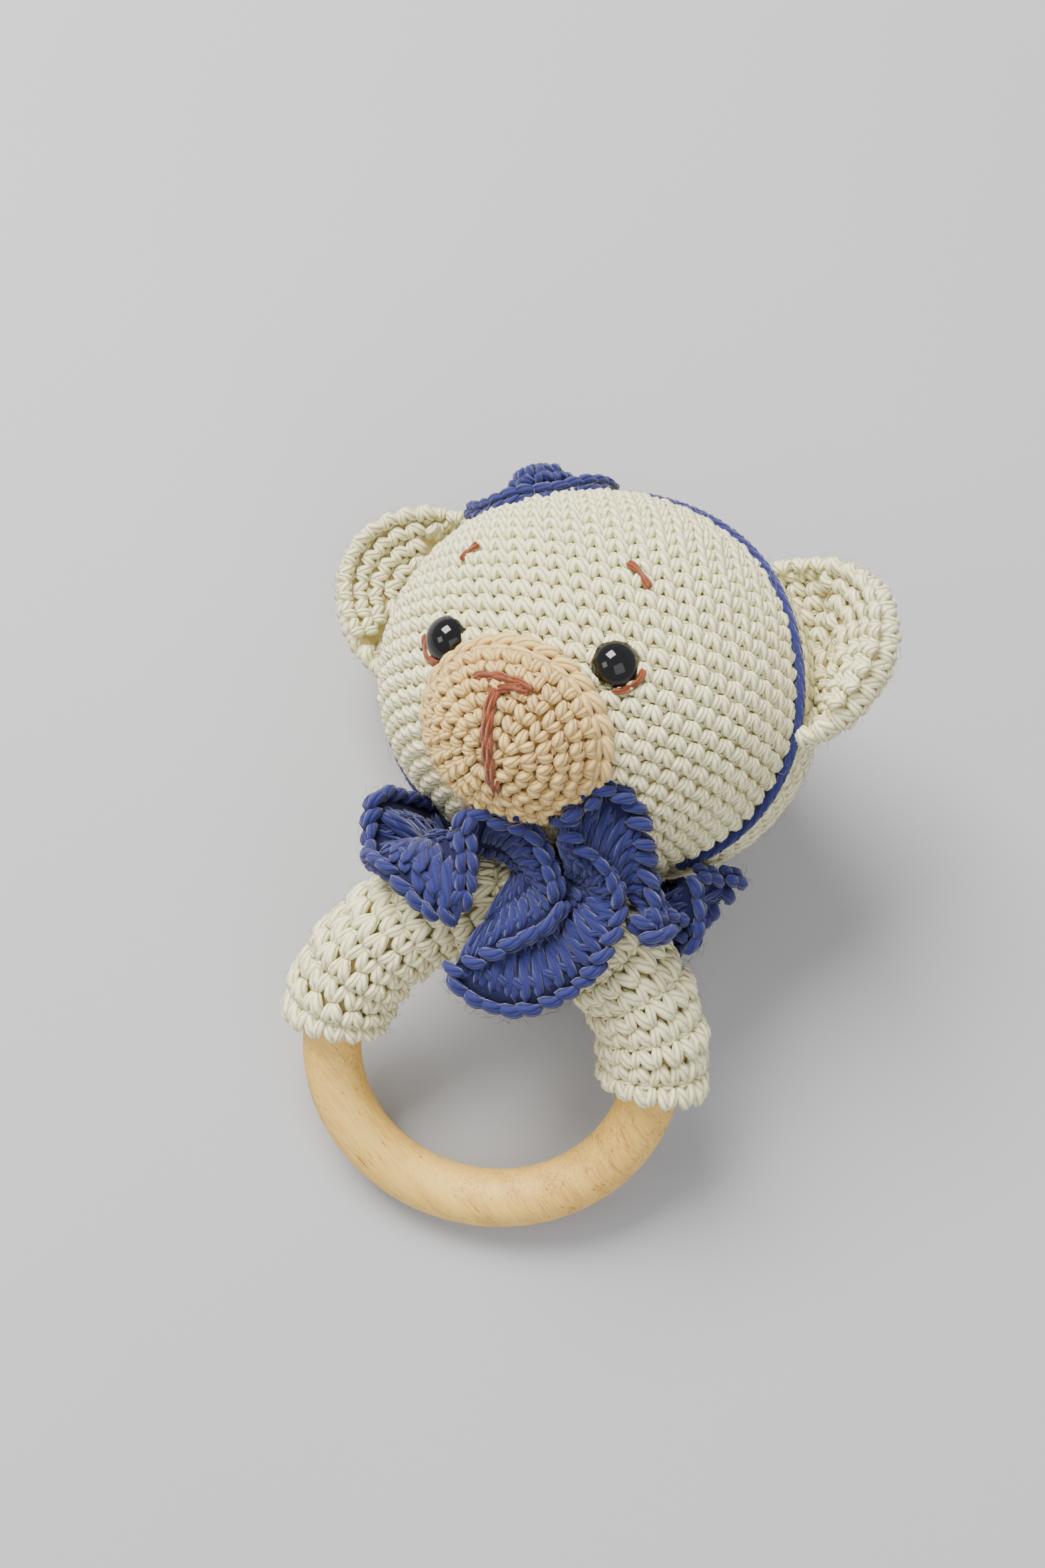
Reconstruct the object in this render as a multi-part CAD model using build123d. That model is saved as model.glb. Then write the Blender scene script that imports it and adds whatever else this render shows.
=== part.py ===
from build123d import *
import math
import os

# A crocheted bear rattle lying on its back: a wooden ring runs through a crocheted
# sleeve, a stuffed head sits on a soft neck, and a capsule of beads is inside the head.
# +Z is up, +Y points from the ring to the crown, and the origin is on the surface
# that the rattle lies on, under the middle of its outer box. All sizes are millimetres.

# ---- wooden ring and its crocheted sleeve
RING_RADIUS = 29.6  # centre line of the ring
RING_SECTION = 5.4  # radius of the round wooden section
SLEEVE_RUNNING_GAP = 0.08
SLEEVE_WALL = 3.7
SLEEVE_FIRST_ANGLE = 6.0  # measured from the ring's local X, the neck is at 90
SLEEVE_LAST_ANGLE = 185.0

# ---- head, a round stuffed ball that is a solid of revolution about Y
HEAD_RADIUS = 39.6
HEAD_RISE = 36.0  # centre to crown
HEAD_DROP = 32.4  # centre to neck
HEAD_WALL = 2.0
HEAD_TURN = -22.8  # the face is turned this far about Y
REST_FLAT_DEPTH = 1.0  # how much the resting side is pressed flat
SEAM_GAP = 0.05  # between stuffing, covers and what they hold

# ---- soft neck
NECK_RADIUS = 6.5
NECK_PIVOT_LIFT = 2.0  # pivot above the sleeve
NECK_GAP = 0.46  # pole of the head's outline above the sleeve
NECK_HOLE_RADIUS = 10.0
NECK_CLEARANCE = 0.4
NECK_BAND_SECTION = 0.6
NECK_BAND_GAP = 1.0  # between the stem and the band of yarn round it

# ---- frill round the neck
FRILL_INNER_RADIUS = 11.0
FRILL_OUTER_RADIUS = 28.0
FRILL_HEAD_GAP = 0.4
FRILL_INNER_THICKNESS = 0.9
FRILL_OUTER_THICKNESS = 8.5
FRILL_FACE_GAP = 0.3  # between the frill and the muzzle

# ---- rattle capsule and beads
CAPSULE_RADIUS = 14.0
CAPSULE_WALL = 1.2
CAPSULE_LIP = 2.0
CAPSULE_LIP_WALL = 0.9
BEAD_RADIUS = 2.1
BEAD_LANE = 5.0
BEAD_GAP = 0.15

# ---- muzzle, a domed patch on the face
MUZZLE_LATITUDE = -33.5
MUZZLE_LONGITUDE = -1.4
MUZZLE_RADIUS = 16.2
MUZZLE_RIM_DROP = 4.4  # the rim's plane under the head's surface at the patch's middle
MUZZLE_RISE = 8.2
MUZZLE_WALL = 1.8
NOSE_RADIUS = 1.0

# ---- eyes and face stitches, as angles seen from the head's centre
EYE_LONGITUDE = 23.5
EYE_LATITUDE = -9.6
EYE_RADIUS = 4.0
EYE_HEIGHT = 3.4
EYE_RIM = 0.6
SHANK_RADIUS = 1.2
SHANK_LENGTH = 7.5
WASHER_RADIUS = 4.5
WASHER_THICKNESS = 1.2
THREAD_RADIUS = 0.75
THREAD_LIFT = 0.25  # how far a stitch's centre line stands above the surface it lies on

# ---- ears
EAR_LONGITUDE = 92.0
EAR_LATITUDE = 19.0
EAR_REACH = 17.5
EAR_HALF_HEIGHT = 17.3
EAR_THICKNESS = 5.0
EAR_BOWL_RADIUS = 30.0

# ---- hat and chin cord
HAT_LONGITUDE = -46.0
HAT_LATITUDE = 55.5
HAT_CROWN_RADIUS = 5.8
HAT_CROWN_HEIGHT = 6.3
HAT_WALL = 1.6
HAT_BRIM_RADIUS = 14.0
HAT_BRIM_THICKNESS = 2.0
HAT_SEAT_GAP = 0.1
CORD_RADIUS = 0.95
CORD_PLANE_HEIGHT = 0.18  # where the cord's plane crosses the equator, as a share of the radius
CORD_PLANE_SLOPE = 0.38
CORD_CROWN_DROP = 0.3  # how the route falls behind that plane above the equator
CORD_RUNS = 24
CORD_END_LATITUDE = -52.0

# ---- places that follow from the sizes
SLEEVE_RADIUS = RING_SECTION + SLEEVE_WALL
AXIS_HEIGHT = HEAD_RADIUS - REST_FLAT_DEPTH
RING_TILT = math.degrees(math.asin((AXIS_HEIGHT - RING_SECTION) / (2 * RING_RADIUS)))
NECK_Y = RING_RADIUS * math.cos(math.radians(RING_TILT))
RING_CENTRE_HEIGHT = AXIS_HEIGHT - RING_RADIUS * math.sin(math.radians(RING_TILT))
HEAD_Y = NECK_Y + SLEEVE_RADIUS + NECK_GAP + HEAD_DROP
PIVOT_Y = NECK_Y + SLEEVE_RADIUS + NECK_PIVOT_LIFT

ring_frame = Location((0, 0, RING_CENTRE_HEIGHT), (RING_TILT, 0, 0))
head_frame = Location((0, HEAD_Y, AXIS_HEIGHT), (0, HEAD_TURN, 0))
neck_height_in_head = PIVOT_Y - HEAD_Y


def direction(longitude, latitude):
    """A unit vector in the head's frame: 0, 0 is the middle of the face."""
    a, e = math.radians(longitude), math.radians(latitude)
    return Vector(math.sin(a) * math.cos(e), math.sin(e), math.cos(a) * math.cos(e))


def oval_arcs(half_width, height):
    """Two tangent circles that round a quarter oval: (centre, radius) of the side and the top."""
    side_radius = (height**2 / half_width + height) / 2
    top_radius = (half_width**2 + height**2 - 2 * half_width * side_radius) / (2 * (height - side_radius))
    return (half_width - side_radius, side_radius), (height - top_radius, top_radius)


def oval_quarter(half_width, height, grow, sign):
    """The edges of a quarter oval from the equator to the pole, upwards or downwards."""
    (side_x, side_radius), (top_y, top_radius) = oval_arcs(half_width, height)
    side_radius, top_radius = side_radius + grow, top_radius + grow
    joint = math.degrees(math.atan2(-top_y * math.copysign(1, top_radius - side_radius),
                                    side_x * math.copysign(1, top_radius - side_radius)))
    side = CenterArc((side_x, 0), side_radius, 0, sign * joint)
    top = CenterArc((0, sign * top_y), top_radius, sign * joint, sign * (90 - joint))
    return [side, top]


def head_hit(d):
    """Where a ray from the head's centre leaves the head, and the surface normal there."""
    across = math.hypot(d.X, d.Z)
    sign = 1 if d.Y >= 0 else -1
    rise = HEAD_RISE if sign > 0 else HEAD_DROP
    (side_x, side_radius), (top_y, top_radius) = oval_arcs(HEAD_RADIUS, rise)
    along = across * side_x
    reach = along + math.sqrt(along**2 - side_x**2 + side_radius**2)
    flat, high, radius = reach * across - side_x, reach * abs(d.Y), side_radius
    if high * side_x > -top_y * flat:
        along = abs(d.Y) * top_y
        reach = along + math.sqrt(along**2 - top_y**2 + top_radius**2)
        flat, high, radius = reach * across, reach * abs(d.Y) - top_y, top_radius
    spin = flat / (radius * max(across, 1e-9))
    return d * reach, Vector(d.X * spin, sign * high / radius, d.Z * spin)


def head_point(longitude, latitude, lift=0.0):
    """A point on the head's outside, lifted along the surface normal, and that normal."""
    point, normal = head_hit(direction(longitude, latitude))
    return point + normal * lift, normal


def head_plane(longitude, latitude, lift=0.0):
    """A plane on the head's outside, its Z outwards and its Y towards the crown."""
    point, normal = head_point(longitude, latitude, lift)
    crown = Vector(0, 1, 0)
    across = crown.cross(normal).normalized()
    return Plane(origin=point, x_dir=across, z_dir=normal)


def head_ball(grow):
    """The head's outline as a solid of revolution, grown or shrunk all round."""
    upper = oval_quarter(HEAD_RADIUS, HEAD_RISE, grow, 1)
    lower = oval_quarter(HEAD_RADIUS, HEAD_DROP, grow, -1)
    axis_line = Line((0, HEAD_RISE + grow), (0, -HEAD_DROP - grow))
    return revolve(make_face([*upper, *lower, axis_line]), Axis.Y)


def thread(points, radius):
    """A stitch of round thread through three points, with round ends."""
    path = ThreePointArc(points[0], points[1], points[2])
    section = Plane(origin=points[0], z_dir=path % 0) * Circle(radius)
    tube = sweep(section, path=path)
    return tube + Pos(*points[0]) * Sphere(radius) + Pos(*points[2]) * Sphere(radius)


# ---- ring, sleeve and neck, in the resting frame

def make_ring():
    return ring_frame * Torus(RING_RADIUS, RING_SECTION)


def make_sleeve():
    sweep_angle = SLEEVE_LAST_ANGLE - SLEEVE_FIRST_ANGLE
    outside = Torus(RING_RADIUS, SLEEVE_RADIUS, major_angle=sweep_angle, align=None)
    bore = Torus(RING_RADIUS, RING_SECTION + SLEEVE_RUNNING_GAP)
    return ring_frame * (Rot(0, 0, SLEEVE_FIRST_ANGLE) * outside - bore)


def make_neck():
    stem_height = PIVOT_Y - NECK_Y
    stem = Plane(origin=(0, NECK_Y, AXIS_HEIGHT), z_dir=(0, 1, 0)) * Cylinder(
        NECK_RADIUS, stem_height, align=(Align.CENTER, Align.CENTER, Align.MIN)
    )
    ball = Pos(0, PIVOT_Y, AXIS_HEIGHT) * Sphere(NECK_RADIUS)
    return stem + ball - ring_frame * Torus(RING_RADIUS, SLEEVE_RADIUS)


def make_neck_band():
    """The round of yarn that closes the neck, half way between the sleeve and the head."""
    middle = Plane(origin=(0, PIVOT_Y - NECK_PIVOT_LIFT / 2, AXIS_HEIGHT), z_dir=(0, 1, 0))
    return middle * Torus(NECK_RADIUS + NECK_BAND_GAP + NECK_BAND_SECTION, NECK_BAND_SECTION)


def make_frill(cord):
    """The frill's envelope: a wedge of revolution that widens away from the neck."""
    guard = head_ball(FRILL_HEAD_GAP)
    inner_y = -HEAD_DROP * math.sqrt(1 - (FRILL_INNER_RADIUS / HEAD_RADIUS) ** 2)
    outer_y = -HEAD_DROP * math.sqrt(1 - (FRILL_OUTER_RADIUS / HEAD_RADIUS) ** 2)
    corners = [
        (FRILL_INNER_RADIUS, inner_y + 2),
        (FRILL_OUTER_RADIUS, outer_y + 2),
        (FRILL_OUTER_RADIUS, outer_y - FRILL_HEAD_GAP - FRILL_OUTER_THICKNESS),
        (FRILL_INNER_RADIUS, inner_y - FRILL_HEAD_GAP - FRILL_INNER_THICKNESS),
    ]
    wedge = revolve(make_face(Polyline(*corners, close=True)), Axis.Y)
    return wedge - guard - muzzle_dome(-FRILL_FACE_GAP) - cord


# ---- head and what it holds

def shank_hole(side):
    place = head_plane(side * EYE_LONGITUDE, EYE_LATITUDE)
    depth = 2 * SHANK_LENGTH
    return place * Cylinder(SHANK_RADIUS + SEAM_GAP, depth)


def neck_hole():
    middle = Plane(origin=(0, -HEAD_DROP, 0), z_dir=(0, 1, 0))
    return middle * Cylinder(NECK_HOLE_RADIUS, 4 * HEAD_WALL)


def floor_block():
    size = 4 * HEAD_RADIUS
    return Pos(0, HEAD_Y, -size / 2) * Box(size, size, size)


def make_head_shell():
    shell = head_ball(0) - head_ball(-HEAD_WALL) - neck_hole() - shank_hole(-1) - shank_hole(1)
    return shell - head_frame.inverse() * floor_block()


def make_head_stuffing():
    body = head_ball(-HEAD_WALL - SEAM_GAP) - neck_hole() - Sphere(CAPSULE_RADIUS + SEAM_GAP)
    body -= Pos(0, neck_height_in_head, 0) * Sphere(NECK_RADIUS + NECK_CLEARANCE)
    for side in (-1, 1):
        body -= shank_hole(side)
        body -= washer_blank(side, SEAM_GAP)
    return body


def capsule_half(upper):
    """Half of the bead capsule. The lower half has a lip that plugs into the upper one."""
    size = 4 * CAPSULE_RADIUS
    inside = CAPSULE_RADIUS - CAPSULE_WALL
    lip_radius = math.sqrt(inside**2 - CAPSULE_LIP**2) - SEAM_GAP
    half_space = Pos(0, 0, size / 2 if upper else -size / 2) * Box(size, size, size)
    half = (Sphere(CAPSULE_RADIUS) - Sphere(inside)) & half_space
    if not upper:
        foot = Pos(0, 0, -CAPSULE_LIP / 2) * Cylinder(inside + CAPSULE_WALL / 2, CAPSULE_LIP)
        lip = Cylinder(lip_radius, 2 * CAPSULE_LIP)
        bore = Cylinder(lip_radius - CAPSULE_LIP_WALL, 3 * CAPSULE_LIP)
        half += (foot + lip) - bore
    return Rot(0, -HEAD_TURN, 0) * half


def bead_place(index):
    """Where a bead rests in the capsule: one in the middle and four round it."""
    lane = 0 if index == 1 else BEAD_LANE
    turn = math.radians(90 * index)
    reach = CAPSULE_RADIUS - CAPSULE_WALL - BEAD_RADIUS - BEAD_GAP
    drop = math.sqrt(reach**2 - lane**2)
    x, y = lane * math.cos(turn), lane * math.sin(turn)
    return Vector(x, HEAD_Y + y, AXIS_HEIGHT - drop)


# ---- face

muzzle_plane = head_plane(MUZZLE_LONGITUDE, MUZZLE_LATITUDE, -MUZZLE_RIM_DROP)


def muzzle_dome(shrink):
    """The muzzle's domed outline on its own plane, before the head is cut away."""
    radius = MUZZLE_RADIUS - shrink
    height = MUZZLE_RIM_DROP + MUZZLE_RISE - shrink
    quarter = oval_quarter(MUZZLE_RADIUS, MUZZLE_RIM_DROP + MUZZLE_RISE, -shrink, 1)
    edges = [*quarter, Line((0, height), (0, 0)), Line((0, 0), (radius, 0))]
    dome = Rot(90, 0, 0) * revolve(make_face(edges), Axis.Y)
    return muzzle_plane * dome - head_ball(SEAM_GAP)


def muzzle_point(across, up, lift=0.0):
    """A point on the muzzle's outside, from its place in the muzzle's plane."""
    (side_x, side_radius), (top_y, top_radius) = oval_arcs(MUZZLE_RADIUS, MUZZLE_RIM_DROP + MUZZLE_RISE)
    reach = math.hypot(across, up)
    height = top_y + math.sqrt(top_radius**2 - reach**2)
    if (height - top_y) * side_x < -top_y * reach:
        height = math.sqrt(side_radius**2 - (reach - side_x) ** 2)
    return muzzle_plane.from_local_coords(Vector(across, up, height + lift))


def make_muzzle_cover():
    return muzzle_dome(0) - muzzle_dome(MUZZLE_WALL)


def make_muzzle_stuffing():
    return muzzle_dome(MUZZLE_WALL + SEAM_GAP)


def make_nose():
    ends = ((-4.3, 12.2), (0.5, 12.9), (6.4, 11.5))
    points = [muzzle_point(across, up, THREAD_LIFT) for across, up in ends]
    return thread(points, NOSE_RADIUS) - muzzle_dome(0)


def make_mouth(nose):
    ends = ((0.5, 11.4), (0.0, 3.5), (1.0, -7.2))
    points = [muzzle_point(across, up, THREAD_LIFT) for across, up in ends]
    return thread(points, NOSE_RADIUS) - muzzle_dome(0) - nose


def make_left_eye():
    place = head_plane(-EYE_LONGITUDE, EYE_LATITUDE)
    bulge = EYE_HEIGHT - EYE_RIM
    cap_radius = (EYE_RADIUS**2 + bulge**2) / (2 * bulge)
    cap_angle = math.degrees(math.asin(EYE_RADIUS / cap_radius))
    dome_arc = CenterArc((0, EYE_HEIGHT - cap_radius), cap_radius, 90 - cap_angle, cap_angle)
    edges = [
        Line((0, 0), (EYE_RADIUS, 0)),
        Line((EYE_RADIUS, 0), (EYE_RADIUS, EYE_RIM)),
        dome_arc,
        Line((0, EYE_HEIGHT), (0, 0)),
    ]
    dome = Rot(90, 0, 0) * revolve(make_face(edges), Axis.Y)
    button = place * dome - head_ball(0)
    shank = place * Cylinder(SHANK_RADIUS, SHANK_LENGTH, align=(Align.CENTER, Align.CENTER, Align.MAX))
    root = place * Cylinder(SHANK_RADIUS, EYE_RIM, align=(Align.CENTER, Align.CENTER, Align.MIN))
    return button + shank + root


def washer_blank(side, grow):
    """The washer that grips the shank behind the head's wall."""
    depth = HEAD_WALL + WASHER_RADIUS**2 / HEAD_RADIUS
    place = head_plane(side * EYE_LONGITUDE, EYE_LATITUDE, -depth - WASHER_THICKNESS / 2)
    return place * Cylinder(WASHER_RADIUS + grow, WASHER_THICKNESS + 2 * grow)


def make_left_washer():
    bore = head_plane(-EYE_LONGITUDE, EYE_LATITUDE) * Cylinder(SHANK_RADIUS, 3 * SHANK_LENGTH)
    return washer_blank(-1, 0) - bore


def liner_points():
    """The liner stitch follows the outer lower edge of the left eye."""
    reach = EYE_RADIUS + THREAD_RADIUS + SEAM_GAP
    place = head_plane(-EYE_LONGITUDE, EYE_LATITUDE)
    points = []
    for turn in (15, -30, -80):
        a = math.radians(turn)
        flat = place.from_local_coords(Vector(-reach * math.cos(a), reach * math.sin(a), 0))
        points.append(flat - place.z_dir * (reach**2 / (2 * HEAD_RADIUS) - THREAD_LIFT))
    return points


def make_left_liner(eye):
    return thread(liner_points(), THREAD_RADIUS) - head_ball(0) - eye


def make_left_brow():
    ends = ((-20.4, 16.6), (-23.8, 14.2), (-26.8, 11.2))
    points = [head_point(longitude, latitude, THREAD_LIFT)[0] for longitude, latitude in ends]
    return thread(points, THREAD_RADIUS) - head_ball(0)


# ---- ears, hat and chin cord

def make_left_ear(cord):
    """A thick cupped half disc that stands out from the side of the head, hollow side forward."""
    root, normal = head_point(-EAR_LONGITUDE, EAR_LATITUDE)
    outward = (normal + Vector(0, 0, math.tan(math.radians(10)))).normalized()
    up = Vector(0, 1, 0)
    up = (up - outward * up.dot(outward)).normalized()
    facing = up.cross(outward)
    middle = root - outward * (EAR_REACH * 0.15) - facing * (EAR_THICKNESS / 2)
    place = Plane(origin=middle, x_dir=outward, z_dir=facing)
    bowl_centre = Pos(0, 0, EAR_BOWL_RADIUS)
    bowl = bowl_centre * Sphere(EAR_BOWL_RADIUS) - bowl_centre * Sphere(EAR_BOWL_RADIUS - EAR_THICKNESS)
    outline = Ellipse(EAR_REACH * 1.15, EAR_HALF_HEIGHT)
    column = extrude(outline, EAR_BOWL_RADIUS)
    outer_side = Pos(EAR_REACH, 0, 0) * Box(2 * EAR_REACH, 3 * EAR_HALF_HEIGHT, 4 * EAR_BOWL_RADIUS)
    cup = bowl & column & outer_side
    return place * cup - head_ball(SEAM_GAP) - cord


hat_plane = head_plane(HAT_LONGITUDE, HAT_LATITUDE, HAT_SEAT_GAP)


def hat_dome(shrink):
    radius, height = HAT_CROWN_RADIUS - shrink, HAT_CROWN_HEIGHT - shrink
    shoulder = height - radius
    arc = CenterArc((0, shoulder), radius, 0, 90)
    foot = -HAT_CROWN_RADIUS**2 / HEAD_RADIUS
    edges = [
        Line((0, foot), (radius, foot)),
        Line((radius, foot), (radius, shoulder)),
        arc,
        Line((0, height), (0, foot)),
    ]
    dome = Rot(90, 0, 0) * revolve(make_face(edges), Axis.Y)
    return hat_plane * dome


def make_hat_crown(cord):
    return hat_dome(0) - hat_dome(HAT_WALL) - head_ball(HAT_SEAT_GAP) - cord


def make_hat_stuffing(cord):
    return hat_dome(HAT_WALL + SEAM_GAP) - head_ball(HAT_SEAT_GAP) - cord


def make_hat_brim(cord):
    disc = hat_plane * Cylinder(HAT_BRIM_RADIUS, 3 * HAT_BRIM_RADIUS)
    band = (head_ball(HAT_SEAT_GAP + HAT_BRIM_THICKNESS) - head_ball(HAT_SEAT_GAP)) & disc
    upper_side = hat_plane * Box(4 * HEAD_RADIUS, 4 * HEAD_RADIUS, HEAD_RADIUS)
    hole = hat_plane * Cylinder(HAT_CROWN_RADIUS + SEAM_GAP, 3 * HAT_BRIM_RADIUS)
    return (band & upper_side) - hole - cord


def cord_point(turn):
    """A point of the chin cord's route, a bowed slanted section of the head, lifted clear of it."""
    y = math.sin(math.radians(turn))
    side = math.cos(math.radians(turn))
    scale, z = 1.0, 0.0
    for _ in range(60):
        high = y * scale
        z = CORD_PLANE_HEIGHT + CORD_PLANE_SLOPE * high - CORD_CROWN_DROP * max(0.0, high) ** 2
        scale /= math.sqrt((side * scale) ** 2 + high**2 + z**2)
    point, normal = head_hit(Vector(side * scale, y * scale, z))
    step = math.radians((180 - 2 * CORD_END_LATITUDE) / CORD_RUNS)
    lift = CORD_RADIUS + SEAM_GAP + HEAD_RADIUS * step**2 / 8
    return point + normal * lift


def make_cord():
    first, last = CORD_END_LATITUDE, 180 - CORD_END_LATITUDE
    turns = [first + (last - first) * i / CORD_RUNS for i in range(CORD_RUNS + 1)]
    points = [cord_point(turn) for turn in turns]
    radii = []
    for before, here, after in zip(points, points[1:], points[2:]):
        run = min((here - before).length, (after - here).length)
        bend = math.radians((here - before).get_angle(after - here))
        radii.append(0.45 * run / math.tan(bend / 2))
    path = FilletPolyline(*points, radius=radii)
    return sweep(Plane(origin=path @ 0, z_dir=path % 0) * Circle(CORD_RADIUS), path=path)


# ---- the assembly

cord = make_cord()
nose = make_nose()
left_eye = make_left_eye()
resting_pieces = {
    "wooden_ring": make_ring(),
    "ring_sleeve": make_sleeve(),
    "neck_stem": make_neck(),
    "neck_band": make_neck_band(),
}
head_pieces = {
    "neck_frill": make_frill(cord),
    "head_shell": make_head_shell(),
    "head_stuffing": make_head_stuffing(),
    "capsule_lower": capsule_half(False),
    "capsule_upper": capsule_half(True),
    "muzzle_cover": make_muzzle_cover(),
    "muzzle_stuffing": make_muzzle_stuffing(),
    "nose_stitch": nose,
    "mouth_stitch": make_mouth(nose),
    "hat_crown": make_hat_crown(cord),
    "hat_brim": make_hat_brim(cord),
    "hat_stuffing": make_hat_stuffing(cord),
    "chin_cord": cord,
}
left_pieces = {
    "eye": left_eye,
    "eye_washer": make_left_washer(),
    "eye_liner": make_left_liner(left_eye),
    "brow": make_left_brow(),
    "ear": make_left_ear(cord),
}
for name, shape in left_pieces.items():
    head_pieces[f"left_{name}"] = shape
    head_pieces[f"right_{name}"] = mirror(shape, about=Plane.YZ)
for name, shape in head_pieces.items():
    resting_pieces[name] = head_frame * shape
for index in range(1, 6):
    resting_pieces[f"bead_{index}"] = Pos(*bead_place(index)) * Sphere(BEAD_RADIUS)

nodes = {name: Compound(ShapeList([shape]).solids()) for name, shape in resting_pieces.items()}
box = Compound([solid for node in nodes.values() for solid in node.solids()]).bounding_box()
to_origin = Pos(-box.center().X, -box.center().Y, 0)

os.makedirs("parts", exist_ok=True)
for name, node in nodes.items():
    export_step(node.moved(to_origin), f"parts/{name}.step")
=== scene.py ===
"""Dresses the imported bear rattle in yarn, thread, wood and plastic, and lights it on a pale floor."""

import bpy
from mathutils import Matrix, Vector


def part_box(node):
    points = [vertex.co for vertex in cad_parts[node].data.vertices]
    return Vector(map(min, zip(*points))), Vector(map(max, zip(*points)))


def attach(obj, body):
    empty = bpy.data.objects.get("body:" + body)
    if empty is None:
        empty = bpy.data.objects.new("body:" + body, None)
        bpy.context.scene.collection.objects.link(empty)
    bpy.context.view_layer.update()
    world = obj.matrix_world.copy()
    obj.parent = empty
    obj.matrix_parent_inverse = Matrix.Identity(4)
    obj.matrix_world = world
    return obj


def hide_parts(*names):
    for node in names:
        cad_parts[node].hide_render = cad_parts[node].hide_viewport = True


bl_info = {
    "name": "Crocheted Bear Rattle",
    "version": (1, 0, 0),
    "blender": (4, 5, 0),
    "location": "View3D > Sidebar > Rattle",
    "description": "Builds the crochet, thread and wood of a bear rattle round its packed frame",
    "category": "Object",
}

import math
import bpy
import numpy as np
from mathutils import Matrix, Vector

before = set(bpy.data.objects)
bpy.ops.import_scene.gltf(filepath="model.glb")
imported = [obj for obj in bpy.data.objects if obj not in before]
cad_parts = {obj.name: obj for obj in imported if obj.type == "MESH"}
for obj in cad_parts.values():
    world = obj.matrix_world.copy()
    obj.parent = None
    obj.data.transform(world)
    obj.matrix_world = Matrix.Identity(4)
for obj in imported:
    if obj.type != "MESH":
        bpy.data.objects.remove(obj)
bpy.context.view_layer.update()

MM = 0.001
RANDOM_SEED = 7

STITCH_WIDTH = 3.8
STITCH_HEIGHT = 3.05
POST_WIDTH = 2.5
POST_HEIGHT = 7.6
CHAIN_LENGTH = 3.3

# Sizes of the frame that the yarn follows, in millimetres and degrees.
HEAD_RADIUS = 39.6
HEAD_RISE = 36.0
HEAD_DROP = 32.4
HEAD_TURN = -22.8
MUZZLE_LATITUDE = -33.5
MUZZLE_LONGITUDE = -1.4
MUZZLE_RADIUS = 16.2
MUZZLE_RIM_DROP = 4.4
MUZZLE_RISE = 8.2
MUZZLE_RIM_STITCHES = 26
RING_RADIUS = 29.6
RING_TILT = 34.112
SLEEVE_RADIUS = 9.1
SLEEVE_ROW = 3.9
SLEEVE_STITCHES = 15
SLEEVE_STITCH_HEIGHT = 3.0
SLEEVE_END_STITCHES = 14
SLEEVE_RIDGE_INSET = 0.15
SLEEVE_GROOVE_INSET = 0.75
SLEEVE_BORE_RADIUS = 5.6
SLEEVE_END_RADIUS = 7.4
SLEEVE_END_INSET = 1.7
SLEEVE_FIRST_ANGLE = 6.0
SLEEVE_LAST_ANGLE = 185.0
NECK_RADIUS = 6.5
EAR_LONGITUDE = 92.0
EAR_LATITUDE = 19.0
EAR_REACH = 17.5
EAR_HALF_HEIGHT = 17.3
EAR_THICKNESS = 5.0
EAR_BOWL_RADIUS = 30.0
EAR_BOWL_MIDDLE = EAR_BOWL_RADIUS - EAR_THICKNESS / 2
EAR_RUN = EAR_BOWL_MIDDLE * math.asin(EAR_HALF_HEIGHT / EAR_BOWL_MIDDLE)
EAR_ROOT_REACH = 37.0
EAR_ROWS = 7
EAR_RIM_STITCHES = 17
EAR_STITCH_WIDTH = 3.5
EAR_STRIP_DEPTH = 2.2
EAR_LIP_AT = 7.6
EAR_LIP_RUN = 1.6
EAR_LIP_LIFT = 0.8
HAT_LONGITUDE = -46.0
HAT_LATITUDE = 55.5
HAT_CROWN_RADIUS = 5.8
HAT_CROWN_HEIGHT = 6.3
HAT_BRIM_RADIUS = 14.0
HAT_EDGE_STITCHES = 27
CORD_PLANE_HEIGHT = 0.18
CORD_PLANE_SLOPE = 0.38
CORD_CROWN_DROP = 0.3
CORD_END_LATITUDE = -52.0


# ---------------------------------------------------------------- what a user may change

class RattleSizes(bpy.types.PropertyGroup):
    """Sizes of the yarn work, in metres."""

    stitch_width: bpy.props.FloatProperty(
        name="Stitch width", description="Width of one single crochet stitch",
        default=0.0038, min=0.002, max=0.008, unit="LENGTH")
    round_height: bpy.props.FloatProperty(
        name="Round height", description="Height of one round of stitches",
        default=0.00305, min=0.002, max=0.006, unit="LENGTH")
    frill_post_width: bpy.props.FloatProperty(
        name="Frill post width", description="Distance between two posts at the frill's edge",
        default=0.0033, min=0.0015, max=0.006, unit="LENGTH")
    cord_radius: bpy.props.FloatProperty(
        name="Cord radius", description="Radius of the chin cord",
        default=0.00095, min=0.0005, max=0.003, unit="LENGTH")
    fuzz_length: bpy.props.FloatProperty(
        name="Fuzz length", description="Length of the loose fibres on the yarn",
        default=0.0022, min=0.0, max=0.006, unit="LENGTH")


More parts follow.
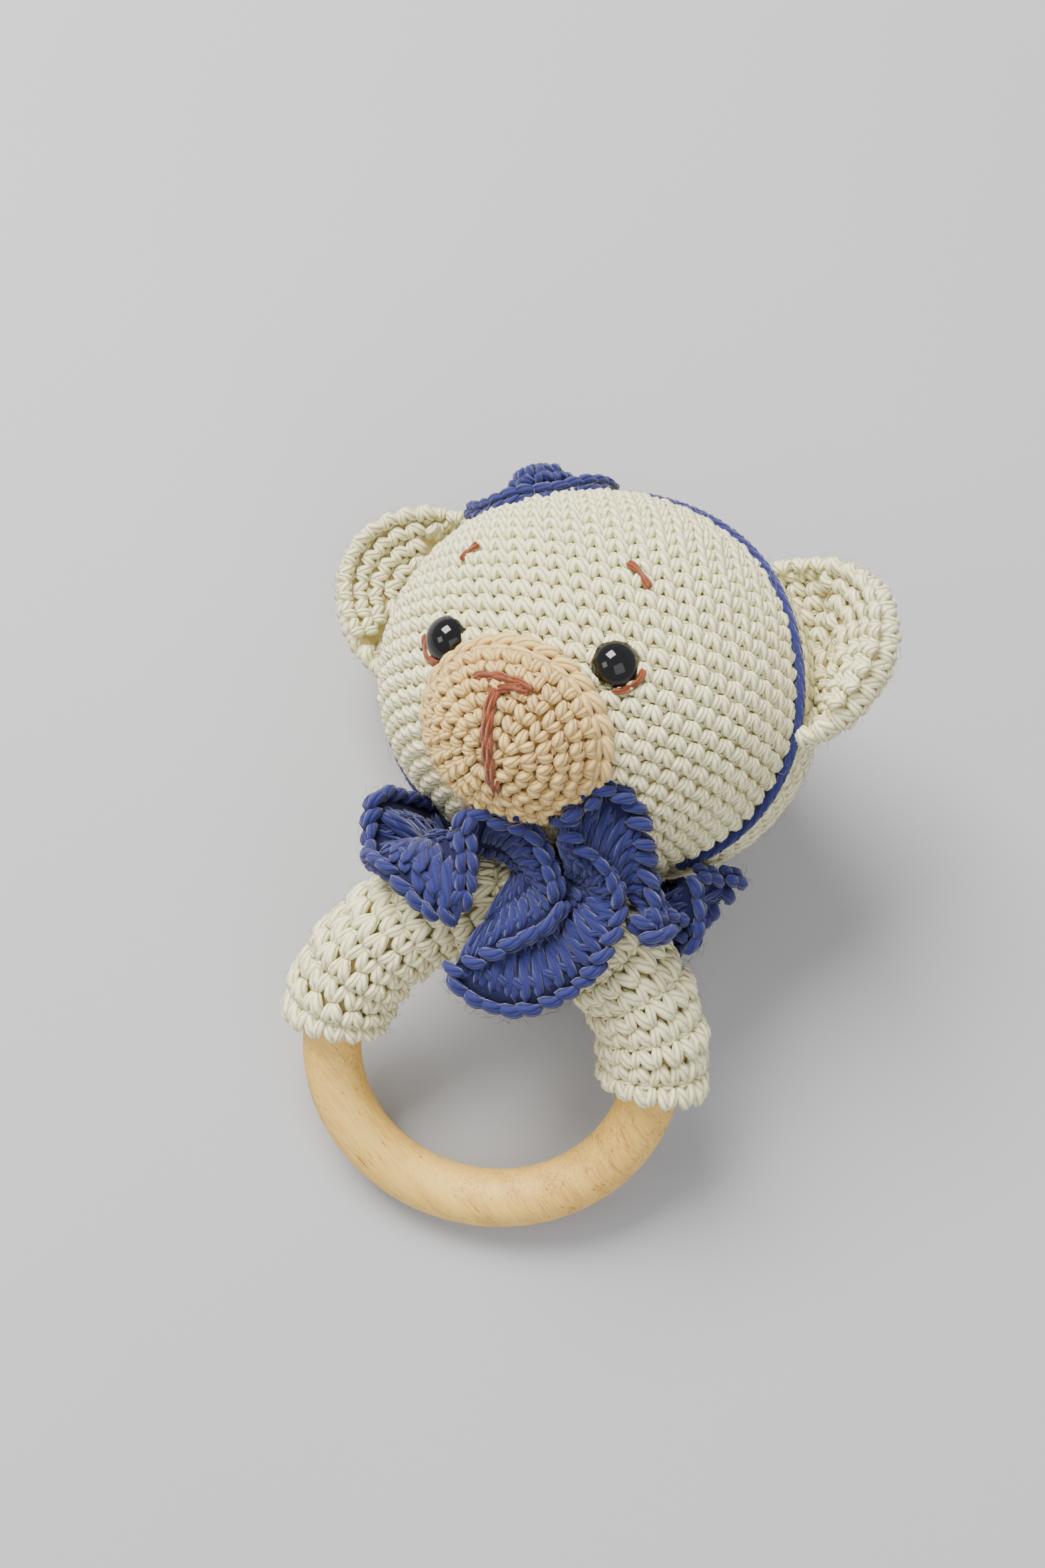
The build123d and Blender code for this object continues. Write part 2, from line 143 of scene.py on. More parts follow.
class RattleColours(bpy.types.PropertyGroup):
    """Colours of the yarns, the wood and the plastic."""

    cream: bpy.props.FloatVectorProperty(
        name="Cream yarn", description="Head, ears and ring sleeve", subtype="COLOR",
        size=3, min=0, max=1, default=(0.97, 0.91, 0.56))
    blue: bpy.props.FloatVectorProperty(
        name="Blue yarn", description="Frill, hat and chin cord", subtype="COLOR",
        size=3, min=0, max=1, default=(0.015, 0.019, 0.14))
    beige: bpy.props.FloatVectorProperty(
        name="Beige yarn", description="Muzzle", subtype="COLOR",
        size=3, min=0, max=1, default=(0.82, 0.57, 0.21))
    rust: bpy.props.FloatVectorProperty(
        name="Rust thread", description="Nose, mouth, brows and eye liners", subtype="COLOR",
        size=3, min=0, max=1, default=(0.27, 0.052, 0.006))
    wood: bpy.props.FloatVectorProperty(
        name="Ring wood", description="Wooden ring", subtype="COLOR",
        size=3, min=0, max=1, default=(0.84, 0.53, 0.12))
    floor: bpy.props.FloatVectorProperty(
        name="Floor", description="Pale surface under the rattle", subtype="COLOR",
        size=3, min=0, max=1, default=(0.425, 0.425, 0.44))


def sizes():
    return bpy.context.scene.rattle_sizes


def colours():
    return bpy.context.scene.rattle_colours


# ---------------------------------------------------------------- places on the frame

def head_centre():
    low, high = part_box("head_shell")
    return np.array([(low.x + high.x) / 2, high.y - HEAD_RISE * MM, high.z - HEAD_RADIUS * MM]) / MM


def turn_about_y(degrees):
    a = math.radians(degrees)
    return np.array([[math.cos(a), 0, math.sin(a)], [0, 1, 0], [-math.sin(a), 0, math.cos(a)]])


HEAD_CENTRE = head_centre()
HEAD_AXES = turn_about_y(HEAD_TURN)


def to_row(points):
    """Millimetres in the head's frame to millimetres in the row frame."""
    return points @ HEAD_AXES.T + HEAD_CENTRE


def turned(vectors):
    return vectors @ HEAD_AXES.T


def unit(vectors):
    return vectors / np.maximum(np.linalg.norm(vectors, axis=-1, keepdims=True), 1e-12)


def direction(longitude, latitude):
    a, e = np.radians(longitude), np.radians(latitude)
    return np.stack(np.broadcast_arrays(np.sin(a) * np.cos(e), np.sin(e), np.cos(a) * np.cos(e)), -1)


def oval_arcs(half_width, height):
    """Two tangent circles that round a quarter oval: (centre, radius) of the side and the top."""
    side_radius = (height**2 / half_width + height) / 2
    top_radius = (half_width**2 + height**2 - 2 * half_width * side_radius) / (2 * (height - side_radius))
    return (half_width - side_radius, side_radius), (height - top_radius, top_radius)


def oval_hit(across, up, half_width, rise, drop):
    """How far a ray from an oval's centre runs to its outline, and the two parts of the normal there."""
    sign = 1 if up >= 0 else -1
    (side_x, side_radius), (top_y, top_radius) = oval_arcs(half_width, rise if sign > 0 else drop)
    along = across * side_x
    reach = along + math.sqrt(along**2 - side_x**2 + side_radius**2)
    flat, high, radius = reach * across - side_x, reach * abs(up), side_radius
    if high * side_x > -top_y * flat:
        along = abs(up) * top_y
        reach = along + math.sqrt(along**2 - top_y**2 + top_radius**2)
        flat, high, radius = reach * across, reach * abs(up) - top_y, top_radius
    return reach, flat / radius, sign * high / radius


def head_hit_one(d):
    """Where a ray from the head's centre leaves the head, and the surface normal there."""
    across = math.hypot(d[0], d[2])
    reach, out, up = oval_hit(across, d[1], HEAD_RADIUS, HEAD_RISE, HEAD_DROP)
    spin = out / max(across, 1e-9)
    return np.array(d) * reach, np.array([d[0] * spin, up, d[2] * spin])


def head_hit(directions):
    """Points and normals on the head for an array of directions."""
    flat = directions.reshape(-1, 3)
    hits = [head_hit_one(d) for d in flat]
    points = np.array([h[0] for h in hits]).reshape(directions.shape)
    normals = np.array([h[1] for h in hits]).reshape(directions.shape)
    return points, normals


def head_place(longitude, latitude, lift=0.0):
    """A frame on the head's outside: its origin and its rows across, towards the crown and outwards."""
    point, normal = head_hit_one(direction(longitude, latitude))
    across = unit(np.cross([0, 1, 0], normal))
    return point + normal * lift, np.array([across, np.cross(normal, across), normal])


MUZZLE_ORIGIN, MUZZLE_AXES = head_place(MUZZLE_LONGITUDE, MUZZLE_LATITUDE, -MUZZLE_RIM_DROP)
HAT_ORIGIN, HAT_AXES = head_place(HAT_LONGITUDE, HAT_LATITUDE, 0.1)


def muzzle_point(across, up, lift=0.0):
    """A point on the muzzle's outside, from its place in the muzzle's plane."""
    (side_x, side_radius), (top_y, top_radius) = oval_arcs(MUZZLE_RADIUS, MUZZLE_RIM_DROP + MUZZLE_RISE)
    reach = math.hypot(across, up)
    height = top_y + math.sqrt(top_radius**2 - reach**2)
    if (height - top_y) * side_x < -top_y * reach:
        height = math.sqrt(side_radius**2 - (reach - side_x) ** 2)
    return MUZZLE_ORIGIN + np.array([across, up, height + lift]) @ MUZZLE_AXES


def oval_outline(half_width, rise, drop, count=400):
    """A meridian from the top pole to the bottom pole: radius, height and the two parts of its normal."""
    rows = []
    for a in np.linspace(0, np.pi, count):
        x, y = np.sin(a), np.cos(a)
        reach, out, up = oval_hit(x, y, half_width, rise, drop)
        rows.append((x * reach, y * reach, out, up))
    return np.array(rows)


# ---------------------------------------------------------------- mesh helpers

def new_object(name, vertices, faces, uvs=None):
    """A mesh object from millimetres. uvs has one pair for each corner, in the faces' order."""
    mesh = bpy.data.meshes.new(name)
    mesh.from_pydata((np.asarray(vertices, float) * MM).tolist(), [], [list(map(int, f)) for f in faces])
    if uvs is not None:
        layer = mesh.uv_layers.new(name="UVMap")
        layer.data.foreach_set("uv", np.asarray(uvs, np.float32).ravel())
    mesh.shade_smooth()
    mesh.update()
    obj = bpy.data.objects.new(name, mesh)
    bpy.context.scene.collection.objects.link(obj)
    return obj


def remove(obj):
    data = obj.data
    bpy.data.objects.remove(obj)
    if data.users == 0 and isinstance(data, bpy.types.Mesh):
        bpy.data.meshes.remove(data)


def frames_along(points, hint=None):
    """Tangents and two cross directions that don't twist along a path."""
    tangents = unit(np.gradient(points, axis=0))
    side = np.cross(tangents[0], [0.3, 0.5, 0.8] if hint is None else hint)
    sides = []
    for t in tangents:
        side = unit(side - t * np.dot(side, t))
        sides.append(side)
    sides = np.array(sides)
    return tangents, sides, np.cross(tangents, sides)


def tube(points, radii, sides=6, lobes=0, lobe_depth=0.0, twist=0.0, hint=None):
    """A closed tube with pointed ends. Returns vertices, faces and corner UVs: length in mm, turn 0 to 1."""
    points = np.asarray(points, float)
    radii = np.broadcast_to(np.asarray(radii, float), (len(points),))
    _, a, b = frames_along(points, hint)
    run = np.concatenate([[0], np.cumsum(np.linalg.norm(np.diff(points, axis=0), axis=1))])
    turn = np.arange(sides) / sides * 2 * np.pi
    vertices = [points[0]]
    for i in range(1, len(points) - 1):
        r = radii[i] * (1 + lobe_depth * np.cos(lobes * (turn + twist * run[i])))
        ring = points[i] + (np.cos(turn) * r)[:, None] * a[i] + (np.sin(turn) * r)[:, None] * b[i]
        vertices.extend(ring)
    vertices.append(points[-1])
    faces, uvs = [], []
    count = len(points) - 2
    last = len(vertices) - 1
    for k in range(sides):
        n = (k + 1) % sides
        u0, u1 = k / sides, (k + 1) / sides
        faces.append((0, 1 + n, 1 + k))
        uvs += [(run[0], (u0 + u1) / 2), (run[1], u1), (run[1], u0)]
        for i in range(count - 1):
            low, high = 1 + i * sides, 1 + (i + 1) * sides
            faces.append((low + k, low + n, high + n, high + k))
            uvs += [(run[i + 1], u0), (run[i + 1], u1), (run[i + 2], u1), (run[i + 2], u0)]
        low = 1 + (count - 1) * sides
        faces.append((low + k, low + n, last))
        uvs += [(run[-2], u0), (run[-2], u1), (run[-1], (u0 + u1) / 2)]
    return np.array(vertices), faces, uvs


def joined(parts):
    """One list of vertices, faces and UVs from several."""
    vertices, faces, uvs, start = [], [], [], 0
    for part_vertices, part_faces, part_uvs in parts:
        vertices.append(part_vertices)
        faces += [tuple(start + i for i in f) for f in part_faces]
        uvs += part_uvs
        start += len(part_vertices)
    return np.concatenate(vertices), faces, uvs


def strand(ends, radius, sides=6, steps=6):
    """One plump strand of a stitch through three points, thick in its middle."""
    p0, p1, p2 = (np.array(p, float) for p in ends)
    t = np.linspace(0, 1, steps)[:, None]
    control = 2 * p1 - (p0 + p2) / 2
    points = (1 - t) ** 2 * p0 + 2 * t * (1 - t) * control + t**2 * p2
    swell = np.sin(np.pi * (0.08 + 0.84 * t[:, 0])) ** 0.45
    return tube(points, radius * swell, sides)


def surface_mesh(name, grid, closed=True):
    """A skin over a grid of points. The columns join up, and a closed one has a point at each end."""
    rows, columns = grid.shape[:2]
    vertices = grid.reshape(-1, 3)
    faces = []
    for i in range(rows - 1):
        for j in range(columns):
            k = (j + 1) % columns
            faces.append((i * columns + j, (i + 1) * columns + j, (i + 1) * columns + k, i * columns + k))
    if closed:
        top, bottom = len(vertices), len(vertices) + 1
        vertices = np.concatenate([vertices, [grid[0].mean(0)], [grid[-1].mean(0)]])
        for j in range(columns):
            k = (j + 1) % columns
            faces.append((top, j, k))
            faces.append((bottom, (rows - 1) * columns + k, (rows - 1) * columns + j))
    return new_object(name, vertices, faces)


def ring_mesh(name, grid):
    """A closed skin over a grid of points whose rows and columns both join up."""
    rows, columns = grid.shape[:2]
    faces = []
    for i in range(rows):
        for j in range(columns):
            n, k = (i + 1) % rows, (j + 1) % columns
            faces.append((i * columns + j, n * columns + j, n * columns + k, i * columns + k))
    return new_object(name, grid.reshape(-1, 3), faces)


# ---------------------------------------------------------------- materials

def node(tree, kind, **inputs):
    made = tree.nodes.new(kind)
    for key, value in inputs.items():
        made.inputs[key.replace("_", " ")].default_value = value
    return made


def maths(tree, operation, first, second=None, third=None):
    made = tree.nodes.new("ShaderNodeMath")
    made.operation = operation
    for slot, value in zip(made.inputs, (first, second, third)):
        if value is None:
            continue
        if isinstance(value, (int, float)):
            slot.default_value = value
        else:
            tree.links.new(value, slot)
    return made.outputs[0]


def principled(name, roughness, **extra):
    material = bpy.data.materials.new(name)
    material.use_nodes = True
    shader = material.node_tree.nodes["Principled BSDF"]
    shader.inputs["Roughness"].default_value = roughness
    for key, value in extra.items():
        shader.inputs[key.replace("_", " ")].default_value = value
    return material, material.node_tree, shader


def ramp(tree, factor, stops):
    made = tree.nodes.new("ShaderNodeValToRGB")
    elements = made.color_ramp.elements
    while len(elements) < len(stops):
        elements.new(0.5)
    for element, (position, colour) in zip(elements, stops):
        element.position = position
        element.color = (*colour, 1)
    tree.links.new(factor, made.inputs[0])
    return made.outputs[0]


def noise(tree, vector, scale, detail=2.0, roughness=0.5):
    made = node(tree, "ShaderNodeTexNoise", Scale=scale, Detail=detail, Roughness=roughness)
    tree.links.new(vector, made.inputs["Vector"])
    return made.outputs["Fac"]


def bump(tree, shader, height, strength, distance):
    made = node(tree, "ShaderNodeBump", Strength=strength, Distance=distance)
    tree.links.new(height, made.inputs["Height"])
    tree.links.new(made.outputs["Normal"], shader.inputs["Normal"])


def shade(colour, factor):
    return tuple(min(1.0, c * f) for c, f in zip(colour, factor))


def yarn_material(name, colour, groove_shade, plies=5, twist=0.3, sheen=0.3):
    """Twisted cotton yarn: plies that wind along a strand, with fine fibres, painted shade in the grooves
    between the plies and a painted highlight on their crests.
    """
    material, tree, shader = principled(name, 0.78, Sheen_Weight=sheen, Sheen_Roughness=0.45)
    shader.inputs["Specular IOR Level"].default_value = 0.35
    uv = tree.nodes.new("ShaderNodeUVMap")
    split = tree.nodes.new("ShaderNodeSeparateXYZ")
    tree.links.new(uv.outputs[0], split.inputs[0])
    place = tree.nodes.new("ShaderNodeTexCoord").outputs["Object"]
    wobble = noise(tree, place, 900, 1.0)
    bend = maths(tree, "MULTIPLY", wobble, 0.22)
    along = maths(tree, "MULTIPLY_ADD", split.outputs[0], twist, bend)
    phase = maths(tree, "MULTIPLY_ADD", split.outputs[1], float(plies), along)
    wave = maths(tree, "ABSOLUTE", maths(tree, "SINE", maths(tree, "MULTIPLY", phase, math.pi)))
    ply = maths(tree, "POWER", wave, 0.6)
    mapping = node(tree, "ShaderNodeCombineXYZ")
    tree.links.new(maths(tree, "MULTIPLY", split.outputs[0], 0.9), mapping.inputs[0])
    tree.links.new(maths(tree, "MULTIPLY", phase, 3.2), mapping.inputs[1])
    fibres = noise(tree, mapping.outputs[0], 2.6, 3.0, 0.65)
    mottle = noise(tree, place, 160, 2.0)
    tone = maths(tree, "MULTIPLY_ADD", fibres, 0.3, maths(tree, "MULTIPLY", ply, 0.7))
    tone = maths(tree, "MULTIPLY_ADD", maths(tree, "SUBTRACT", mottle, 0.5), 0.5, tone)
    # Painted shade: the ply wave gives the grooves between plies a darkened colour; the top stop, 1.06 times
    # the yarn colour, is a painted highlight on each ply's crest.
    deep, mid = shade(colour, groove_shade), shade(colour, [0.5 + 0.5 * g for g in groove_shade])
    stops = [(0.0, deep), (0.35, mid), (0.75, colour), (1.0, shade(colour, (1.06,) * 3))]
    tree.links.new(ramp(tree, tone, stops), shader.inputs["Base Color"])
    height = maths(tree, "MULTIPLY_ADD", fibres, 0.35, ply)
    bump(tree, shader, height, 0.9, 0.0004)
    return material


def ground_material(name, colour):
    """The deep part of the yarn work, seen only between the stitches. The yarns pass it a darkened copy of
    their colour, painted shade; the stuffing's colour is its own.
    """
    material, tree, shader = principled(name, 0.95)
    place = tree.nodes.new("ShaderNodeTexCoord").outputs["Object"]
    grain = noise(tree, place, 1200, 3.0)
    stops = [(0.25, shade(colour, (0.7,) * 3)), (0.75, colour)]
    tree.links.new(ramp(tree, grain, stops), shader.inputs["Base Color"])
    bump(tree, shader, grain, 0.5, 0.0003)
    return material


def plastic_material(name, colour, roughness, coat=0.0, speck=0.04):
    material, tree, shader = principled(name, roughness, Coat_Weight=coat, Coat_Roughness=0.03)
    place = tree.nodes.new("ShaderNodeTexCoord").outputs["Object"]
    grain = noise(tree, place, 700, 3.0)
    tree.links.new(ramp(tree, grain, [(0.3, shade(colour, (1 - speck,) * 3)), (0.7, colour)]),
                   shader.inputs["Base Color"])
    bump(tree, shader, grain, 0.04, 0.0001)
    return material


def wood_material(name, colour):
    """Pale turned wood: straight grain across the ring, fine slanted pores, small nicks."""
    material, tree, shader = principled(name, 0.55, Coat_Weight=0.08, Coat_Roughness=0.4)
    place = tree.nodes.new("ShaderNodeTexCoord").outputs["Object"]
    board = node(tree, "ShaderNodeMapping")
    board.inputs["Rotation"].default_value = (math.radians(-RING_TILT), 0, math.radians(38))
    tree.links.new(place, board.inputs["Vector"])
    stretched = node(tree, "ShaderNodeMapping")
    stretched.inputs["Scale"].default_value = (1.0, 14.0, 14.0)
    tree.links.new(board.outputs[0], stretched.inputs["Vector"])
    bands = noise(tree, stretched.outputs[0], 22, 3.0, 0.55)
    fine = noise(tree, stretched.outputs[0], 150, 3.0, 0.6)
    pores = noise(tree, stretched.outputs[0], 210, 1.0, 0.4)
    cloud = noise(tree, place, 55, 2.0)
    tone = maths(tree, "MULTIPLY_ADD", fine, 0.45, maths(tree, "MULTIPLY", bands, 0.4))
    tone = maths(tree, "MULTIPLY_ADD", cloud, 0.25, tone)
    base = ramp(tree, tone, [
        (0.38, shade(colour, (0.48, 0.38, 0.28))), (0.5, shade(colour, (0.84, 0.78, 0.68))),
        (0.62, colour), (0.75, shade(colour, (1.08, 1.1, 1.18)))])
    dots = ramp(tree, pores, [(0.24, (0.45, 0.36, 0.26)), (0.33, (1, 1, 1))])
    mix = tree.nodes.new("ShaderNodeMix")
    mix.data_type = "RGBA"
    mix.blend_type = "MULTIPLY"
    mix.inputs[0].default_value = 1.0
    tree.links.new(base, mix.inputs[6])
    tree.links.new(dots, mix.inputs[7])
    tree.links.new(mix.outputs[2], shader.inputs["Base Color"])
    height = maths(tree, "MULTIPLY_ADD", fine, 0.5, maths(tree, "MINIMUM", pores, 0.34))
    bump(tree, shader, height, 0.35, 0.0004)
    return material


MATERIALS = {}


def make_materials():
    c = colours()
    cream, blue, beige, rust = tuple(c.cream), tuple(c.blue), tuple(c.beige), tuple(c.rust)
    MATERIALS.update({
        # Painted shade: the third argument of each yarn darkens its colour in the grooves between plies.
        "cream": yarn_material("cream_cotton", cream, (0.62, 0.55, 0.40)),
        # Painted shade: each ground colour is a darkened copy of its yarn colour, for the gaps between
        # stitches.
        "cream_shaded_ground": ground_material("cream_shaded_ground", shade(cream, (0.80, 0.70, 0.52))),
        "blue": yarn_material("blue_cotton", blue, (0.38, 0.36, 0.48), sheen=0.25),
        "blue_shaded_ground": ground_material("blue_shaded_ground", shade(blue, (0.28, 0.28, 0.36))),
        "beige": yarn_material("beige_cotton", beige, (0.72, 0.62, 0.5)),
        "beige_shaded_ground": ground_material("beige_shaded_ground", shade(beige, (0.82, 0.74, 0.62))),
        "rust": yarn_material("rust_thread", rust, (0.45, 0.40, 0.40), plies=4, twist=0.25),
        "wood": wood_material("turned_wood", tuple(c.wood)),
        "eye": plastic_material("eye_black", (0.002, 0.002, 0.0025), 0.05),
        "washer": plastic_material("washer_white", (0.82, 0.82, 0.8), 0.45),
        "capsule": plastic_material("capsule_plastic", (0.78, 0.84, 0.84), 0.4),
        "bead": plastic_material("bead_plastic", (0.75, 0.17, 0.08), 0.2, coat=0.4),
        "stuffing": ground_material("stuffing", (0.88, 0.88, 0.86)),
    })


def paint(node_name, key):
    """Gives a carried-over node its finished material."""
    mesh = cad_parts[node_name].data
    mesh.materials.clear()
    mesh.materials.append(MATERIALS[key])


# ---------------------------------------------------------------- stitches by Geometry Nodes

def stitch_tree():
    """Sets one stitch on each point, turned by the point's own directions, and makes it real."""
    tree = bpy.data.node_groups.new("set_stitches", "GeometryNodeTree")
    face = tree.interface
    face.new_socket("Geometry", in_out="INPUT", socket_type="NodeSocketGeometry")
    face.new_socket("Stitch", in_out="INPUT", socket_type="NodeSocketObject")
    face.new_socket("Yarn", in_out="INPUT", socket_type="NodeSocketMaterial")
    face.new_socket("Size", in_out="INPUT", socket_type="NodeSocketFloat").default_value = 1.0
    face.new_socket("Unevenness", in_out="INPUT", socket_type="NodeSocketFloat").default_value = 0.1
    face.new_socket("Seed", in_out="INPUT", socket_type="NodeSocketInt").default_value = RANDOM_SEED
    face.new_socket("Geometry", in_out="OUTPUT", socket_type="NodeSocketGeometry")

    def add(kind, feeds=(), **settings):
        """A new node. feeds are pairs of an input and the output that feeds it."""
        made = tree.nodes.new(kind)
        for name, value in settings.items():
            setattr(made, name, value)
        for socket, feed in feeds:
            tree.links.new(feed, made.inputs[socket])
        return made

    source = add("NodeGroupInput").outputs

    def vector_attribute(name):
        made = add("GeometryNodeInputNamedAttribute", data_type="FLOAT_VECTOR")
        made.inputs["Name"].default_value = name
        return made.outputs["Attribute"]

    def scatter(low, high, offset):
        seed = add("ShaderNodeMath", [(0, source["Seed"])], operation="ADD")
        seed.inputs[1].default_value = offset
        made = add("FunctionNodeRandomValue", data_type="FLOAT_VECTOR")
        made.inputs[0].default_value = low
        made.inputs[1].default_value = high
        tree.links.new(seed.outputs[0], made.inputs["Seed"])
        return made.outputs[0]

    axes = add("FunctionNodeAxesToRotation", primary_axis="Z", secondary_axis="X", feeds=[
        (0, vector_attribute("outward")), (1, vector_attribute("row_way"))])
    wobble = add("ShaderNodeVectorMath", operation="SCALE", feeds=[
        (0, scatter((-1, -1, -1), (1, 1, 1), 1)), ("Scale", source["Unevenness"])])
    euler = add("FunctionNodeEulerToRotation", [(0, wobble.outputs[0])])
    turn = add("FunctionNodeRotateRotation", rotation_space="LOCAL", feeds=[
        (0, axes.outputs[0]), (1, euler.outputs[0])])
    sizing = add("ShaderNodeVectorMath", operation="MULTIPLY", feeds=[
        (0, vector_attribute("stitch_size")), (1, scatter((0.94, 0.94, 0.9), (1.06, 1.06, 1.1), 2))])
    scale = add("ShaderNodeVectorMath", operation="SCALE", feeds=[
        (0, sizing.outputs[0]), ("Scale", source["Size"])])
    stitch = add("GeometryNodeObjectInfo", [(0, source["Stitch"])])
    points = add("GeometryNodeMeshToPoints", [(0, source["Geometry"])])
    place = add("GeometryNodeInstanceOnPoints", [
        ("Points", points.outputs[0]), ("Instance", stitch.outputs["Geometry"]),
        ("Rotation", turn.outputs[0]), ("Scale", scale.outputs[0])])
    real = add("GeometryNodeRealizeInstances", [(0, place.outputs[0])])
    yarn = add("GeometryNodeSetMaterial", [(0, real.outputs[0]), ("Material", source["Yarn"])])
    add("NodeGroupOutput", [(0, yarn.outputs[0])])
    return tree


TREES = {}


def stitched(name, stitch, points, row_way, outward, size, material, unevenness=0.1, seed=RANDOM_SEED):
    """A plain mesh of stitches set on points. All the arrays have one row for each stitch, in mm."""
    field = new_object(name + "_points", points, [])
    for label, values in (("row_way", row_way), ("outward", outward), ("stitch_size", size)):
        attribute = field.data.attributes.new(label, "FLOAT_VECTOR", "POINT")
        attribute.data.foreach_set("vector", np.asarray(values, np.float32).ravel())
    if "stitches" not in TREES:
        TREES["stitches"] = stitch_tree()
    modifier = field.modifiers.new("Stitches", "NODES")
    modifier.node_group = TREES["stitches"]
    inputs = {s.name: s.identifier for s in TREES["stitches"].interface.items_tree if s.in_out == "INPUT"}
    modifier[inputs["Stitch"]] = stitch
    modifier[inputs["Yarn"]] = MATERIALS[material]
    modifier[inputs["Unevenness"]] = unevenness
    modifier[inputs["Seed"]] = seed
    modifier[inputs["Size"]] = 1.0
    graph = bpy.context.evaluated_depsgraph_get()
    mesh = bpy.data.meshes.new_from_object(field.evaluated_get(graph))
    field.modifiers.remove(modifier)
    remove(field)
    mesh.name = name
    for label in ("row_way", "outward", "stitch_size"):
        if label in mesh.attributes:
            mesh.attributes.remove(mesh.attributes[label])
    made = bpy.data.objects.new(name, mesh)
    bpy.context.scene.collection.objects.link(made)
    return made


def merge(name, objects):
    """Joins finished pieces into the first and names it. Their materials are kept."""
    bpy.ops.object.select_all(action="DESELECT")
    for obj in objects:
        obj.select_set(True)
    bpy.context.view_layer.objects.active = objects[0]
    bpy.ops.object.join()
    objects[0].name = name
    objects[0].data.name = name
    return objects[0]


def keep_above_floor(obj, low=0.0):
    co = np.empty(len(obj.data.vertices) * 3, np.float32)
    obj.data.vertices.foreach_get("co", co)
    co = co.reshape(-1, 3)
    co[:, 2] = np.maximum(co[:, 2], low)
    obj.data.vertices.foreach_set("co", co.ravel())
    obj.data.update()


STITCHES = {}


def stitch_kit():
    """The stitches that everything is made of. X runs along the row, Y to the next row, Z outwards.

    A single crochet is a steep strand and a slanted one that meet at the top, and a thin one across the foot.
    """
    single = joined([
        strand([(-1.3, -1.45, -0.9), (-1.0, 0.0, 0.45), (-0.55, 1.4, -0.75)], 1.12),
        strand([(-0.5, 1.45, -0.6), (0.7, 0.25, 0.55), (1.75, -1.45, -0.95)], 1.14),
        strand([(-1.2, -1.7, -0.8), (0.1, -1.5, -0.3), (1.4, -1.75, -0.8)], 0.7, sides=5, steps=5),
    ])
    post = joined([
        strand([(-0.95, -4.2, -0.1), (-0.8, 0.0, 0.25), (0.3, 4.0, 0.1)], 0.98, steps=7),
        strand([(0.1, -4.2, 0.1), (0.85, 0.0, -0.25), (1.7, 3.9, -0.1)], 0.98, steps=7),
        strand([(-1.1, 0.6, 0.0), (0.1, 1.3, 0.75), (1.3, 2.2, 0.0)], 0.6, sides=5, steps=5),
        strand([(-1.1, 0.6, 0.0), (0.1, 1.3, -0.75), (1.3, 2.2, 0.0)], 0.6, sides=5, steps=5),
    ])
    chain = joined([
        strand([(-2.6, 0.85, -0.5), (-0.2, 0.95, 0.3), (2.3, 0.1, -0.15)], 1.02, steps=7),
        strand([(-2.6, -0.85, -0.5), (-0.2, -0.95, 0.3), (2.3, -0.1, -0.15)], 1.02, steps=7),
    ])
    fibre = tube([(-0.5, 0, 0), (-0.2, 0.06, 0.28), (0.15, 0.0, 0.5), (0.45, -0.08, 0.55)], 0.009, sides=3)
    for key, shape in (("single", single), ("post", post), ("chain", chain), ("fibre", fibre)):
        obj = new_object("stitch_" + key, *shape)
        obj.hide_render = True
        STITCHES[key] = obj


def fuzz(name, field, count, material, lift=1.0, seed=RANDOM_SEED):
    """Loose fibres that stand up from the yarn of a field of stitches."""
    rng = np.random.default_rng(seed)
    pick = rng.integers(0, len(field[0]), count)
    point, way, out = (field[k][pick] for k in range(3))
    over = np.cross(out, way)
    aside, up = rng.uniform(-1.8, 1.8, count), rng.uniform(-1.3, 1.3, count)
    angle = rng.uniform(0, 2 * math.pi, count)
    points = point + way * aside[:, None] + over * up[:, None] + out * lift
    ways = way * np.cos(angle)[:, None] + over * np.sin(angle)[:, None]
    length = sizes().fuzz_length / MM * rng.uniform(0.6, 1.5, (count, 1))
    size = length * np.ones((count, 3))
    return stitched(name, STITCHES["fibre"], points, ways, out, size, material, unevenness=0.5, seed=seed)


def drop_stitch_kit():
    for obj in STITCHES.values():
        remove(obj)
    STITCHES.clear()


def field_arrays(rows):
    """One array each from a list of (points, row ways, outward ways, sizes)."""
    return [np.concatenate([row[k] for row in rows]) for k in range(4)]


def rounds_of_revolution(outline, first=0.0, last=None, shift=0.4, row=None, width=None):
    """Rounds of stitches on a solid of revolution about Y. The outline's rows are radius, height, normal.

    Returns, in the solid's own frame, arrays of points, row ways, outward ways and sizes.
    """
    row = row or sizes().round_height / MM
    width = width or sizes().stitch_width / MM
    run = np.concatenate([[0], np.cumsum(np.hypot(np.diff(outline[:, 0]), np.diff(outline[:, 1])))])
    end = run[-1] if last is None else last
    count = max(1, round((end - first) / row))
    rows, turn = [], 0.0
    for i in range(count):
        s = first + (i + 0.5) * (end - first) / count
        radius, height, out, up = (np.interp(s, run, outline[:, k]) for k in range(4))
        number = max(4, round(2 * math.pi * radius / width))
        a = (np.arange(number) + turn) / number * 2 * math.pi
        turn += shift
        points = np.stack([np.sin(a) * radius, np.full(number, height), np.cos(a) * radius], -1)
        normal = unit(np.stack([np.sin(a) * out, np.full(number, up), np.cos(a) * out], -1))
        way = np.stack([np.cos(a), np.zeros(number), -np.sin(a)], -1)
        pitch = 2 * math.pi * radius / number / STITCH_WIDTH
        size = np.tile([pitch, (end - first) / count / STITCH_HEIGHT, 0.5 + 0.5 * pitch], (number, 1))
        rows.append((points, way, normal, size))
    return field_arrays(rows)


def chosen(field, keep):
    return [part[keep] for part in field]


def row_field(field):
    """A field of stitches moved from the head's frame to the row frame."""
    points, ways, outs, size = field
    return [to_row(points), turned(ways), turned(outs), size]


